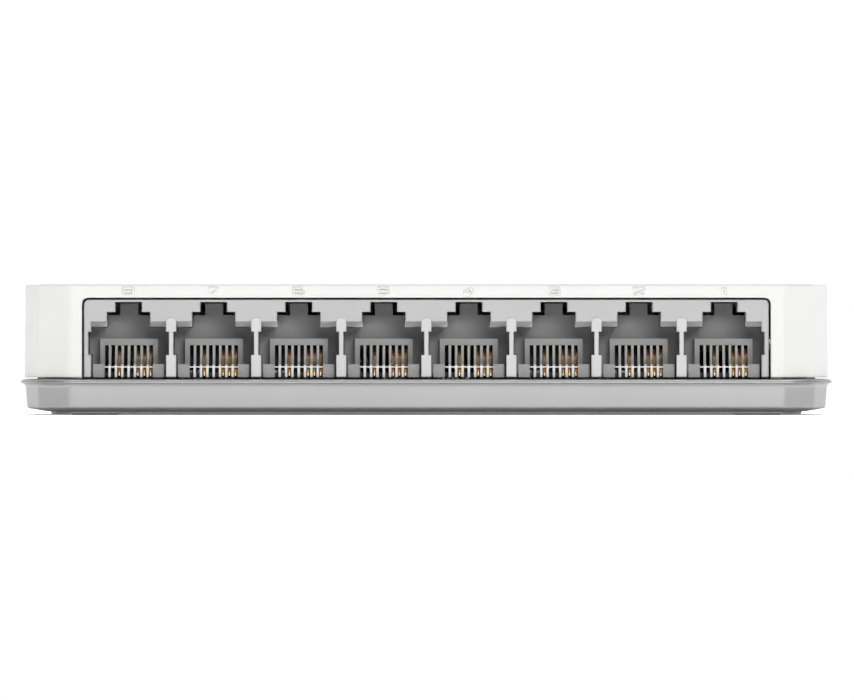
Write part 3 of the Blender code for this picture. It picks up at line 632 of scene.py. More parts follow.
# %% Strokes carried along a path
def carried(path, section, axis, shrink=None):
    """A section carried along a plane path, closed at both ends.

    The section's first number is measured across the path and its second along the axis that the path's
    plane has as its normal. shrink scales the section at each point of the path.
    """
    path = np.asarray(path, float)
    ahead = np.gradient(path, axis=0)
    ahead /= np.linalg.norm(ahead, axis=1, keepdims=True)
    across = np.stack([-ahead[:, 1], ahead[:, 0]], axis=1)
    shrink = np.ones(len(path)) if shrink is None else shrink
    scaled = np.asarray(section)[None] * shrink[:, None, None]
    plane = path[:, None] + scaled[:, :, :1] * across[:, None]
    corner = list(np.moveaxis(plane, 2, 0))
    corner.insert(axis, scaled[:, :, 1])
    return loft(np.stack(corner, axis=2))


STROKES = {
    1: [[(0.2, 0.72), (0.6, 1), (0.6, 0)]],
    2: [[(0, 0.75), (0, 1), (1, 1), (1, 0.6), (0, 0), (1, 0)]],
    3: [[(0, 1), (1, 1), (1, 0), (0, 0)], [(0.3, 0.5), (0.95, 0.5)]],
    4: [[(0.75, 0), (0.75, 1), (0, 0.28), (1, 0.28)]],
    5: [[(1, 1), (0, 1), (0, 0.56), (1, 0.56), (1, 0), (0, 0)]],
    6: [[(0.9, 1), (0, 1), (0, 0), (1, 0), (1, 0.55), (0.05, 0.55)]],
    7: [[(0, 1), (1, 1), (0.35, 0)]],
    8: [[(0.48, 0), (0, 0), (0, 1), (1, 1), (1, 0), (0.52, 0), (0.46, 0)], [(0.05, 0.5), (0.95, 0.5)]],
}
PORT_PITCH = 13.97
DIGIT_WIDTH, DIGIT_HEIGHT, DIGIT_BOTTOM, STROKE = 1.7, 1.12, 19.74, 0.48
DIGIT_RISE, STROKE_CREST = 0.32, 0.14
half_section = [(STROKE / 2, 0.2), (STROKE / 2, 0), (STROKE_CREST / 2 + 0.04, 0.05 - DIGIT_RISE),
                (STROKE_CREST / 2, -DIGIT_RISE)]
stroke_section = np.array([(-x, y) for x, y in half_section] + half_section[::-1])
port_centres = [(MIDDLE_NUMBER - number) * PORT_PITCH for number in range(1, 9)]
digit_face = -front_wall + DRAFT * (DIGIT_BOTTOM - cover_low[2]) / (shoulder - cover_low[2]) + 0.02
strokes = []
for number, centre in enumerate(port_centres, 1):
    for stroke in STROKES[number]:
        points = np.array(stroke) * (DIGIT_WIDTH, DIGIT_HEIGHT) + (centre - DIGIT_WIDTH / 2, DIGIT_BOTTOM)
        section = stroke_section + (0, digit_face)
        strokes.append(carried(rounded(points, 0.28, 5), section, 1))
digits = new_object("port_numbers", gather(strokes), white_plastic)
settle(digits, "white_plastic", "root")
print("numbers:", len(strokes), "strokes,", len(digits.data.polygons), "faces")

# %% [markdown]
# ## The tray
# The lower shell is a shallow grey tray. Its rim flares out to a rounded nose over a cove, so that a hand
# finds an edge to lift by. The rim's corners are round and the wall's are faceted, and the cove turns one
# into the other on its way down. Inside, a tongue stands behind the cover's wall, and posts carry the
# board and the screws.

# %% The tray's wall, rim and underside
COVE_STEPS = 12
RIM_REACH, RIM_TIP, RIM_TOP = 0.65, 5.28, cover_low[2] - GAP
COVE_BOTTOM, COVE_INSET = 4.45, 0.18
PLINTH_INSET, PLINTH_BOTTOM = 4.34, 0.15
FLOOR_TOP, TONGUE_TOP = 2.25, 8.6
TRAY_WALL, TONGUE_OUTSIDE, TONGUE_INSIDE = 2.42, 2.1, 3.0


def cove():
    """The cove's rows: a quarter of an ellipse from the rim's tip in to the wall, growing more faceted."""
    turn = np.linspace(0, math.pi / 2, COVE_STEPS + 1)
    inset = (RIM_REACH + COVE_INSET) * np.sin(turn) - RIM_REACH
    height = COVE_BOTTOM + (RIM_TIP - COVE_BOTTOM) * np.cos(turn)
    return np.stack([inset, height, np.sin(turn)], axis=1)[1:]


inside = [(TRAY_WALL, FLOOR_TOP, 1), (TRAY_WALL, 3.9, 1), (TONGUE_INSIDE, 4.6, 1),
          (TONGUE_INSIDE, TONGUE_TOP, 1), (TONGUE_OUTSIDE, TONGUE_TOP, 1), (TONGUE_OUTSIDE, RIM_TOP, 1),
          (0.0, RIM_TOP, 0), (-RIM_REACH + 0.08, RIM_TIP + 0.4, 0), (-RIM_REACH, RIM_TIP, 0)]
outside = [(0.42, 1.15, 1), (3.92, 0.58, 1), (PLINTH_INSET, 0.58, 1), (PLINTH_INSET, PLINTH_BOTTOM, 1),
           (6.0, PLINTH_BOTTOM, 1)]
tray_profile = np.concatenate([inside, cove(), outside])
tray_radii = [0, 0.2, 0.2, 0.2, 0.2, 0.1, 0.2, 0.3, 0.08] + [0] * COVE_STEPS + [0.35, 0.15, 0.1, 0.15, 0]
tray = new_object("tray", shell(tray_profile, tray_radii, 4), silver_plastic)

STANDOFFS = [(side * 44.0, y) for side in (-1, 1) for y in (-28.5, 25.8)]
POST_RADIUS, STANDOFF_RADIUS, STANDOFF_TOP = 4.0, 2.4, 4.0
posts = [rod(2, place, POST_RADIUS, (FLOOR_TOP - 0.5, RIM_TOP)) for place in screw_places]
posts += [rod(2, place, STANDOFF_RADIUS, (FLOOR_TOP - 0.5, STANDOFF_TOP), 32) for place in STANDOFFS]
hook = [(33.7, 7.0), (35.4, 7.0), (35.4, 7.25), (34.7, 7.7), (33.7, 7.7)]
posts += [extruded(0, hook, middle(side * HOOK_X, HOOK_WIDTH)) for side in (-1, 1)]
carve(tray, [gather(posts)], "UNION")
print("tray:", len(tray.data.polygons), "faces")

# %% Holes, recesses and notches in the tray
foot_low, foot_high = limits("foot_front_right")
foot_centre = ((foot_low + foot_high) / 2)[:2]
foot_centres = {}
for end, y_sign in (("rear", -1), ("front", 1)):
    for side, x_sign in (("left", -1), ("right", 1)):
        foot_centres[f"foot_{end}_{side}"] = foot_centre * (x_sign, y_sign)
SCREW_WELL, WELL_EDGE, SCREW_SEAT = 2.8, 0.2, 2.6
screw_well = [(SCREW_WELL + WELL_EDGE, PLINTH_BOTTOM - 1), (SCREW_WELL + WELL_EDGE, PLINTH_BOTTOM),
              (SCREW_WELL, PLINTH_BOTTOM + WELL_EDGE), (SCREW_WELL, SCREW_SEAT),
              (SCREW_HOLE, SCREW_SEAT), (SCREW_HOLE, RIM_TOP + 1)]
FOOT_RECESS, RECESS_EDGE, FOOT_RECESS_TOP = 4.3, 0.15, 1.0
foot_recess = [(FOOT_RECESS + RECESS_EDGE, PLINTH_BOTTOM - 1), (FOOT_RECESS + RECESS_EDGE, PLINTH_BOTTOM),
               (FOOT_RECESS, PLINTH_BOTTOM + RECESS_EDGE), (FOOT_RECESS, FOOT_RECESS_TOP)]
cutters = [turned(2, place, screw_well) for place in screw_places]
cutters += [turned(2, centre, foot_recess, 64) for centre in foot_centres.values()]
FLOOR_SLOTS, FLOOR_SLOT_PITCH, FLOOR_SLOT_WIDTH, FLOOR_SLOT_LENGTH = 9, 5.0, 1.6, 15.0
for i in range(FLOOR_SLOTS):
    slot_x = (i - (FLOOR_SLOTS - 1) / 2) * FLOOR_SLOT_PITCH
    slot = box_outline(middle(slot_x, FLOOR_SLOT_WIDTH), middle(0.5, FLOOR_SLOT_LENGTH), 0.75, 6)
    cutters.append(hole_cutter(2, slot, PLINTH_BOTTOM, 1, VENT_EDGE, FLOOR_TOP + 1))
NOTCH_FROM, NOTCH_TO, SOCKET_NOTCH_WIDTH = 0.9, 4.0, 9.6
notch = box_outline((-window_x, window_x), (-front_wall + NOTCH_FROM, -front_wall + NOTCH_TO), 0.05)
socket_notch = box_outline((end_wall - NOTCH_TO, end_wall - NOTCH_FROM),
                           middle(socket_centre[0], SOCKET_NOTCH_WIDTH), 0.05)
for outline in (notch, socket_notch):
    cutters.append(extruded(2, outline, (RIM_TOP - 0.2, TONGUE_TOP + 1)))
carve(tray, [gather(cutters)])
settle(tray, "grey_plastic", "root", "base_tray")
print("tray with its holes:", len(tray.data.polygons), "faces")

# %% [markdown]
# ## The row of jacks
# Eight ports are moulded as one block, open below like a comb. Each port is a tunnel with a stepped roof:
# a wide part for the plug, a shoulder, and a narrow keyway on top for the plug's latch. The same outline is
# set at several depths. At the face it is drawn back on a quarter circle, which rounds every edge there.

# %% The block
PORT_WIDTH = 12.26
SIDE_SLOT = (13.2, 9.9, 13.66)  # width, bottom and top of the slots in a port's side walls
PLUG_ROOF, MOUTH_ROOF = 14.5, 15.32
SHOULDER = (7.08, 16.92)  # width and top
KEYWAY = (4.36, 18.55)  # width and top
FACE_ROUNDING = 0.28
THIN_SHARE = 0.4
MOUTH_STEP = [(5.0, 0.0), (5.1, 0.04), (5.2, 0.16), (5.24, 0.4), (5.25, 1.0)]
jack_bottom = jack_low[2]


def block_outline(roof, back=0.0):
    """The comb in x and z: once round the block, then up and over each port from +X to -X.

    Every side is drawn back into the plastic by back before the corners are rounded, except that the
    thin bridge over each keyway gives up less.
    """
    half = jack_high[0]
    corners = [(-half, jack_bottom), (-half, jack_high[2]), (half, jack_high[2]), (half, jack_bottom)]
    radii = [0.1, 0.85, 0.85, 0.1]
    for centre in port_centres:
        side = [(PORT_WIDTH / 2, jack_bottom), (PORT_WIDTH / 2, SIDE_SLOT[1]),
                (SIDE_SLOT[0] / 2, SIDE_SLOT[1]), (SIDE_SLOT[0] / 2, SIDE_SLOT[2]),
                (PORT_WIDTH / 2, SIDE_SLOT[2]), (PORT_WIDTH / 2, roof),
                (SHOULDER[0] / 2, roof), (SHOULDER[0] / 2, SHOULDER[1]),
                (KEYWAY[0] / 2, SHOULDER[1]), (KEYWAY[0] / 2, KEYWAY[1])]
        corners += [(centre + x, z) for x, z in side] + [(centre - x, z) for x, z in reversed(side)]
        radii += [0.1] * (2 * len(side))
    corners = np.array(corners)
    drawn = grow(corners, -back)
    thin = corners[:, 1] >= KEYWAY[1]
    drawn[thin, 1] = (corners + THIN_SHARE * (drawn - corners))[thin, 1]
    return rounded(drawn, radii, 3, closed=True)


def block_rings():
    """The outline at growing depths: first drawn back by the face's rounding, then over the roof's step."""
    rings = [(jack_low[1] + depth, block_outline(MOUTH_ROOF, back))
             for depth, back in quarter_round(FACE_ROUNDING, 4)]
    for depth, share in MOUTH_STEP:
        rings.append((jack_low[1] + depth, block_outline(MOUTH_ROOF + share * (PLUG_ROOF - MOUTH_ROOF))))
    rings += [(jack_high[1] - 0.1, block_outline(PLUG_ROOF)), (jack_high[1], block_outline(PLUG_ROOF, 0.1))]
    return [along(1, outline, y) for y, outline in rings]


block = new_object("jack_block", loft(block_rings()), jack_plastic)
settle(block, "jack_plastic", "root", "jack_housing")
print("block:", len(block.data.polygons), "faces")

# %% [markdown]
# ## The noses of the partitions
# The wall between two ports ends in a slightly proud, round-topped nose that guides a plug to one side or
# the other. It catches more light than the face behind it, and its grey is also painted lighter than the
# block's as a painted highlight. Its outline follows the partition, wide at the foot, narrow beside the
# side slots and wide again above them, and the edge is rounded like the block's.

# %% Partition noses
NOSE_HALF, NOSE_WAIST, NOSE_TOP, NOSE_PROUD, NOSE_ROUNDING = 0.81, 0.34, 16.0, 0.14, 0.12
waist_bottom, waist_top = SIDE_SLOT[1] - 0.05, SIDE_SLOT[2] + 0.05
nose_side = [(NOSE_HALF, jack_bottom + 0.1), (NOSE_HALF, waist_bottom), (NOSE_WAIST, waist_bottom),
             (NOSE_WAIST, waist_top), (NOSE_HALF, waist_top), (NOSE_HALF, NOSE_TOP)]
nose_corners = np.array(nose_side + [(-x, z) for x, z in reversed(nose_side)])
nose_radii = [0.05] * 5 + [0.7, 0.7] + [0.05] * 5
nose_rows = [(0, jack_low[1] + 0.1)]
nose_rows += [(inset, jack_low[1] - NOSE_PROUD + back) for inset, back in quarter_round(NOSE_ROUNDING, 3)]
noses = []
for left, right in zip(port_centres[1:], port_centres):
    rings = []
    for inset, y in nose_rows:
        corners = grow(nose_corners, -inset) + ((left + right) / 2, 0)
        rings.append(along(1, rounded(corners, nose_radii, 5, closed=True), y))
    noses.append(loft(rings))
# The noses take the lighter copy of the block's plastic, a painted highlight.
nose_piece = new_object("partition_noses", gather(noses), nose_painted_highlight_plastic)
settle(nose_piece, "jack_plastic", "root")
print("noses:", len(noses), "of", len(nose_piece.data.polygons) // len(noses), "faces")

# %% [markdown]
# ## The inserts
# An insert closes each port from behind and carries its contacts. Its floor runs forward to a lip that the
# plug slides over, and at its back stands a comb whose slots keep the wires apart. One insert is built
# about x = 0, cut from two blocks, and copied to the eight ports.

# %% One insert
insert_low, insert_high = limits("contact_insert_1")
LIP_FACE, LIP_REAR, LIP_TOP = insert_low[1], insert_low[1] + 2.5, 8.34
INSERT_HALF = PORT_WIDTH / 2 - GAP
insert_bottom, insert_floor = insert_low[2], insert_low[2] + 0.75
BACK_FACE = insert_high[1] - 1.9
COMB_FACE, COMB_WIDTH, COMB_TOP = -26.2, 9.52, 12.53
COMB_SLOT_TOP, SLOT_WIDTH, PIN_PITCH = 11.46, 0.62, 1.04
slot_places = [(MIDDLE_NUMBER - pin) * PIN_PITCH for pin in range(8, 0, -1)]
LIP_THICKNESS = 1.3
OPEN = 0.5  # how far a cutter runs past what it cuts
CLOSE = 0.06  # the play between the plate and the tunnel round it


def make_insert():
    """The base and the comb are joined. Then the lip is thinned, opened for the ribs and slotted."""
    base = [(LIP_FACE, insert_bottom), (LIP_FACE, LIP_TOP), (LIP_REAR, LIP_TOP), (LIP_REAR, insert_floor),
            (BACK_FACE, insert_floor), (BACK_FACE, insert_bottom)]
    insert = new_object("insert", extruded(0, base, (-INSERT_HALF, INSERT_HALF)), insert_plastic)
    comb = slab(middle(0, COMB_WIDTH), (COMB_FACE, BACK_FACE), (insert_floor - OPEN, COMB_TOP))
    carve(insert, [comb], "UNION")
    before_lip, below = LIP_FACE - OPEN, insert_bottom - OPEN
    lip_z = (below, LIP_TOP + OPEN)
    carve(insert, [slab(middle(0, 2 * INSERT_HALF + 1), (before_lip, LIP_FACE + LIP_THICKNESS), lip_z),
                   slab(middle(0, 7 * PIN_PITCH + SLOT_WIDTH), (before_lip, LIP_REAR + OPEN), lip_z)])
    slot_y, slot_z = (before_lip, BACK_FACE + OPEN), (below, COMB_SLOT_TOP)
    carve(insert, [gather([slab(middle(x, SLOT_WIDTH), slot_y, slot_z) for x in slot_places])])
    soften_edges(insert, 0.07)
    return insert


first_insert = make_insert()
insert_mesh = first_insert.data
points = np.empty(len(insert_mesh.vertices) * 3)
insert_mesh.vertices.foreach_get("co", points)
inserts = []
for number, centre in enumerate(port_centres, 1):
    mesh = insert_mesh.copy()
    mesh.vertices.foreach_set("co", points + np.tile([centre * MM, 0, 0], len(points) // 3))
    mesh.update()
    insert = bpy.data.objects.new(f"insert_{number}", mesh)
    bpy.context.scene.collection.objects.link(insert)
    inserts.append(settle(insert, "insert_plastic", "root", f"contact_insert_{number}"))
bpy.data.objects.remove(first_insert)
print("inserts:", len(inserts), "of", len(insert_mesh.polygons), "faces")

# %% [markdown]
# ## The back plates
# Behind each comb a plate fills the tunnel's section. Its outline repeats the tunnel's steps with a little
# play at the sides and a clear gap under the shoulders, and the wires' tails leave through a hole behind
# the comb. It is the insert's own plastic, painted a step darker than the comb as painted shade for the
# depth of the tunnel.

# %% Back plates
LATCH_HALF, LATCH_DROP, TAIL_HOLE_WIDTH, TAIL_HOLE_BOTTOM = 1.48, 0.2, 8.3, 7.0
SHOULDER_DROP = 0.5


def back_plate(centre):
    """The plate's outline in x and z, mirrored about the port's middle."""
    half, ear = PORT_WIDTH / 2 - CLOSE, SIDE_SLOT[0] / 2 - CLOSE
    neck = SHOULDER[0] / 2 - CLOSE
    side = [(half, insert_bottom), (half, SIDE_SLOT[1] + CLOSE), (ear, SIDE_SLOT[1] + CLOSE),
            (ear, SIDE_SLOT[2] - CLOSE), (half, SIDE_SLOT[2] - CLOSE), (half, PLUG_ROOF - CLOSE),
            (neck, PLUG_ROOF - CLOSE), (neck, SHOULDER[1] - SHOULDER_DROP),
            (LATCH_HALF, SHOULDER[1] - SHOULDER_DROP), (LATCH_HALF, KEYWAY[1] - LATCH_DROP)]
    outline = np.array(side + [(-x, z) for x, z in reversed(side)]) + (centre, 0)
    return extruded(1, outline, (BACK_FACE + 0.02, insert_high[1]))


# The plates take the darker copy of the insert's plastic, painted shade for the tunnel's depth.
backs = new_object("insert_backs", gather([back_plate(centre) for centre in port_centres]), back_painted_shade_plastic)
hole_y, hole_z = (BACK_FACE - 1, insert_high[1] + 1), (TAIL_HOLE_BOTTOM, COMB_SLOT_TOP)
carve(backs, [gather([slab(middle(centre, TAIL_HOLE_WIDTH), hole_y, hole_z) for centre in port_centres])])
soften_edges(backs, 0.06)
settle(backs, "insert_plastic", "root")
print("back plates:", len(backs.data.polygons), "faces")

# %% [markdown]
# ## The ribs
# Seven thin ribs stand between a port's eight slots. Each rises at the lip, drops behind it and sweeps up
# to the comb, and a fine bar ties the ribs together just above the wires' bends. A rib is one outline seen
# from the side, given its thickness, so the eight ports take only fifty-six such plates and eight bars.

# %% Ribs and bars
RIB_WIDTH = PIN_PITCH - SLOT_WIDTH
BAR_Z = (7.78, 8.0)
rib_sweep = [(-30.4, 7.7), (-28.6, 8.9), (-27.2, 10.6)]
rib_corners = [(LIP_FACE, insert_bottom), (LIP_FACE, BAR_Z[1]), (LIP_FACE + 0.45, LIP_TOP),
               (LIP_REAR, LIP_TOP), (LIP_REAR + 0.2, 7.5)] + rib_sweep
rib_corners += [(COMB_FACE - 0.3, COMB_SLOT_TOP), (COMB_FACE, COMB_SLOT_TOP), (COMB_FACE, insert_bottom)]
rib_outline = rounded(rib_corners, [0.05, 0.2, 0.2, 0.15, 0.1, 0.6, 0.8, 0.5, 0.1, 0, 0], 3, closed=True)
bar_outline = rounded([(LIP_FACE, BAR_Z[0]), (LIP_FACE, BAR_Z[1]), (LIP_FACE + 0.3, BAR_Z[1]),
                       (LIP_FACE + 0.3, BAR_Z[0])], 0.06, 2, closed=True)
PLATE_EDGE = 0.05


def plate(outline, centre, width):
    """A plate across x, its rim rounded by drawing the outline in at both faces."""
    low, high = middle(centre, width)
    return stacked(0, outline, [(-PLATE_EDGE, low), (0, low + PLATE_EDGE), (0, high - PLATE_EDGE),
                                (-PLATE_EDGE, high)])


rib_plates = []
for centre in port_centres:
    rib_plates += [plate(rib_outline, centre + (i - 3) * PIN_PITCH, RIB_WIDTH) for i in range(7)]
    rib_plates.append(plate(bar_outline, centre, 8 * PIN_PITCH - RIB_WIDTH))
# The ribs and bars take the lighter copy of the insert's plastic, a painted highlight.
ribs = new_object("insert_ribs", gather(rib_plates), rib_painted_highlight_plastic)
settle(ribs, "insert_plastic", "root")
print("ribs and bars:", len(rib_plates), "plates,", len(ribs.data.polygons), "faces")

# %% [markdown]
# ## The contacts
# Each contact is a plated spring wire. It comes up through the floor, bends over at the lip and slopes back
# into its slot in the comb. The wire is a circle carried along that path, and its free end is rounded off
# by shrinking the circle over its last few steps. A port's four wires turn together when a plug goes in.

# %% The contacts
WIRE_RADIUS = 0.25
BEND_RADIUS, WIRE_SLOPE, WIRE_REACH = 0.6, math.radians(20.5), 9.6
FITTED_PINS = (1, 2, 3, 6)
BEND_Y, BEND_Z = -33.55, 6.79
WIRE_FOOT, WIRE_PITCH = 6.45, 1.02


def wire_path():
    """In y and z: up the foot, an arc about the bend's centre, then straight up the slope."""
    bend = np.linspace(0, math.pi / 2 - WIRE_SLOPE, 9)
    arc = np.stack([-BEND_RADIUS * np.cos(bend), BEND_RADIUS * np.sin(bend)], axis=1)
    foot = np.stack([np.full(4, -BEND_RADIUS), np.linspace(WIRE_FOOT - BEND_Z, -0.08, 4)], axis=1)
    run = WIRE_REACH - BEND_RADIUS - arc[-1, 0]
    along_slope = np.concatenate([np.linspace(0.1, 0.97, 12), [0.98, 0.988, 0.995, 0.999]])
    slope = arc[-1] + np.stack([run * along_slope, run * along_slope * math.tan(WIRE_SLOPE)], axis=1)
    return np.concatenate([foot, arc, slope]) + (BEND_Y, BEND_Z)


wire = wire_path()
wire_shrink = np.ones(len(wire))
wire_shrink[-4:] = (0.95, 0.82, 0.6, 0.25)
wire_points, wire_faces = carried(wire, circle((0, 0), WIRE_RADIUS, 14), 0, wire_shrink)
for number, centre in enumerate(port_centres, 1):
    wires = []
    for pin in FITTED_PINS:
        place = centre + (MIDDLE_NUMBER - pin) * WIRE_PITCH
        wires.append((wire_points + (place, 0, 0), wire_faces))
    contacts = new_object(f"contacts_{number}_wires", gather(wires), contact_gold)
    pin_nodes = [f"contact_{number}_pin_{pin}" for pin in FITTED_PINS]
    settle(contacts, "contact_gold", f"contacts_{number}", *pin_nodes)
print("wires:", 8 * len(FITTED_PINS), "each with", len(wire_faces), "faces")

# %% [markdown]
# ## The feet and the screws
# The feet are soft rubber discs with a rounded lower edge, and the screws hold the tray to the cover from
# below. Both are turned: a profile of radius against height is carried round the piece's own axis. A cross
# is cut into each screw's head, and its thread is a stack of ridges.

# %% Feet and screws
foot_top = foot_high[2]
FOOT_RADIUS = 4.0
AXIS = 0.02  # the radius at which a turned profile starts and ends, almost on its axis
foot_profile = rounded([(AXIS, 0.0), (FOOT_RADIUS - 0.25, 0.0), (FOOT_RADIUS, foot_top * 0.5),
                        (FOOT_RADIUS, foot_top), (AXIS, foot_top)], [0, 0.3, 0.2, 0.05, 0], 5)
for name, centre in foot_centres.items():
    foot = new_object(name + "_pad", turned(2, centre, foot_profile, 64), foot_rubber)
    settle(foot, "foot_rubber", "root", name)

HEAD_RADIUS, HEAD_BOTTOM, HEAD_TOP, SHANK_RADIUS, SHANK_TOP = 2.5, 0.8, 2.3, 1.3, 10.9
THREAD_PITCH, THREAD_DEPTH = 0.8, 0.28
CROSS_LENGTH, CROSS_WIDTH, CROSS_DEPTH = 2.6, 0.55, 0.9
thread_z = np.arange(HEAD_TOP + 0.5, SHANK_TOP - 0.7, THREAD_PITCH / 2)
thread = [(SHANK_RADIUS - THREAD_DEPTH * (i % 2), z) for i, z in enumerate(thread_z)]
head = rounded([(AXIS, HEAD_BOTTOM), (1.6, HEAD_BOTTOM), (HEAD_RADIUS, HEAD_BOTTOM + 0.5),
                (HEAD_RADIUS, HEAD_TOP), (SHANK_RADIUS, HEAD_TOP)], [0, 0.5, 0.3, 0.1, 0], 5)
tip = [(1.0, SHANK_TOP - 0.4), (0.4, SHANK_TOP), (AXIS, SHANK_TOP)]
screw_profile = np.concatenate([head, thread, tip])
for name, place in zip(("screw_left", "screw_right"), screw_places):
    screw = new_object(name + "_turned", turned(2, place, screw_profile, 40), screw_zinc)
    carve(screw, cross(place, CROSS_LENGTH, CROSS_WIDTH, (HEAD_BOTTOM - 1, HEAD_BOTTOM + CROSS_DEPTH)))
    settle(screw, "screw_zinc", "root", name)
print("feet:", len(foot_centres), "screw thread ridges:", len(thread) // 2)

# %% [markdown]
# ## The parts on the board
# The switch chip is a flat moulded body with rows of bent legs, a shallow dimple marking its first one.
# The two transformer packs are taller and have legs on their long sides only. A leg is a thin strip that
# leaves the body, steps down and rests on the board, so it is one section carried along a bent path.

# %% Legs and bodies
board_top = limits("circuit_board")[1][2]
PART_EDGE = 0.15
LEG_THICKNESS = 0.16


def leg(axis, place, start, end, z, width):
    """A bent leg across an axis, from a body's side at start out to its tip at end, down to the board."""
    out = np.sign(end - start)
    foot_z = board_top + LEG_THICKNESS / 2 + 0.02
    path = [(start - out * 0.3, z), (start + out * 0.3, z), (end - out * 0.45, foot_z), (end, foot_z)]
    half, low, high = LEG_THICKNESS / 2, place - width / 2, place + width / 2
    section = np.array([(-half, low), (half, low), (half, high), (-half, high)])
    return carried(rounded(path, 0.2, 4), section, axis)


def moulded_body(name, x, y, z, finish, dimple):
    """A moulded body whose sides lean in above and below its parting line, with a dimple on top."""
    lean, parting = 0.12, (z[0] + z[1]) / 2
    solid = stacked(2, box_outline(x, y, 0.2, 3), [(-lean, z[0]), (0, parting), (-lean, z[1])])
    body = new_object(name, solid, finish)
    carve(body, [turned(2, dimple, [(0.5, z[1] - 0.12), (0.6, z[1] - 0.05), (0.6, z[1] + 1)], 32)])
    soften_edges(body, PART_EDGE)
    return body


print("legs rest at", round(float(board_top), 2))

# %% The chip and the transformers
chip_low, chip_high = limits("switch_chip")
CHIP_LEG_REACH, CHIP_LEGS, CHIP_LEG_PITCH, CHIP_LEG_WIDTH = 1.0, 14, 0.8, 0.34
body_x = (chip_low[0] + CHIP_LEG_REACH, chip_high[0] - CHIP_LEG_REACH)
body_y = (chip_low[1] + CHIP_LEG_REACH, chip_high[1] - CHIP_LEG_REACH)
chip = moulded_body("chip_body", body_x, body_y, (chip_low[2], chip_high[2]), chip_epoxy,
                    (body_x[0] + 1.2, body_y[1] - 1.2))
settle(chip, "chip_epoxy", "root", "switch_chip")
leg_z = (chip_low[2] + chip_high[2]) / 2
leg_places = (np.arange(CHIP_LEGS) - (CHIP_LEGS - 1) / 2) * CHIP_LEG_PITCH
legs = []
for place in leg_places:
    y_place = place + (chip_low[1] + chip_high[1]) / 2
    legs += [leg(0, place, body_y[0], chip_low[1], leg_z, CHIP_LEG_WIDTH),
             leg(0, place, body_y[1], chip_high[1], leg_z, CHIP_LEG_WIDTH),
             leg(1, y_place, body_x[0], chip_low[0], leg_z, CHIP_LEG_WIDTH),
             leg(1, y_place, body_x[1], chip_high[0], leg_z, CHIP_LEG_WIDTH)]

PACK_LEGS, PACK_LEG_PITCH, PACK_LEG_WIDTH, PACK_LEG_REACH, PACK_LEG_RISE = 20, 1.27, 0.45, 0.9, 1.2
for name in ("transformer_left", "transformer_right"):
    low, high = limits(name)
    pack_leg_z = low[2] + PACK_LEG_RISE
    pack_y = (low[1] + PACK_LEG_REACH, high[1] - PACK_LEG_REACH)
    pack = moulded_body(name + "_pack", (low[0], high[0]), pack_y, (low[2], high[2]), black_plastic,
                        (low[0] + 1.4, pack_y[0] + 1.4))
    settle(pack, "black_plastic", "root", name)
    pack_middle = (low[0] + high[0]) / 2
    for i in range(PACK_LEGS):
        place = pack_middle + (i - (PACK_LEGS - 1) / 2) * PACK_LEG_PITCH
        legs += [leg(0, place, pack_y[0], low[1], pack_leg_z, PACK_LEG_WIDTH),
                 leg(0, place, pack_y[1], high[1], pack_leg_z, PACK_LEG_WIDTH)]
soldered = new_object("soldered_legs", gather(legs), tin)
settle(soldered, "nickel", "root")
print("legs:", len(legs), "on", len(soldered.data.polygons), "faces")

# %% [markdown]
# ## The crystal, the capacitor and the coil
# The crystal sits in a drawn metal can with a flange round its foot. The capacitor is a can in a shrunk
# sleeve, crimped over its seal, its bare top scored with a cross so that it can vent. The coil is hidden
# in a square block of ferrite with a round lid. Each is turned or lofted from the outline of its foot.

# %% The crystal, the capacitor and the coil
low, high = limits("crystal")
FLANGE, FLANGE_HEIGHT, CAN_ROUNDING = 0.45, 0.5, 0.5
foot = box_outline((low[0], high[0]), (low[1], high[1]), (high[1] - low[1]) / 2, 10)
step = low[2] + FLANGE_HEIGHT
can_rows = [(-0.05, low[2]), (0, low[2] + 0.08), (0, step - 0.1), (-0.1, step), (0.15 - FLANGE, step),
            (-FLANGE, step + 0.2)]
can_rows += [(-FLANGE - inset, high[2] - drop) for inset, drop in quarter_round(CAN_ROUNDING, 5)]
can = new_object("crystal_can", stacked(2, foot, can_rows), nickel)
settle(can, "nickel", "root", "crystal")

low, high = limits("capacitor")
centre, radius = ((low + high) / 2)[:2], (high[0] - low[0]) / 2
LID_RADIUS, CRIMP_HEIGHT, CRIMP_DEPTH = 2.45, 1.6, 0.3
crimp, top = low[2] + CRIMP_HEIGHT, high[2]
SCORE_LENGTH, SCORE_WIDTH, SCORE_DEPTH = 3.6, 0.2, 0.16
sleeve_profile = rounded([(AXIS, low[2]), (radius - 0.3, low[2]), (radius, low[2] + 0.4),
                          (radius, crimp - 0.5), (radius - CRIMP_DEPTH, crimp), (radius, crimp + 0.5),
                          (radius, top - 0.5), (radius - 0.5, top), (LID_RADIUS, top),
                          (LID_RADIUS, top - 0.2), (AXIS, top - 0.2)],
                         [0, 0.2, 0.3, 0.3, 0.4, 0.3, 0.4, 0.3, 0.08, 0, 0], 5)
sleeve = new_object("capacitor_can", turned(2, centre, sleeve_profile, 56), capacitor_sleeve)
settle(sleeve, "capacitor_sleeve", "root", "capacitor")
lid_profile = [(AXIS, top - 0.3), (LID_RADIUS - 0.05, top - 0.3), (LID_RADIUS - 0.05, top - 0.1),
               (LID_RADIUS - 0.15, top - 0.04), (AXIS, top - 0.04)]
lid = new_object("capacitor_lid", turned(2, centre, lid_profile, 56), nickel)
carve(lid, cross(centre, SCORE_LENGTH, SCORE_WIDTH, (top - SCORE_DEPTH, top + 1)))
settle(lid, "nickel", "root")

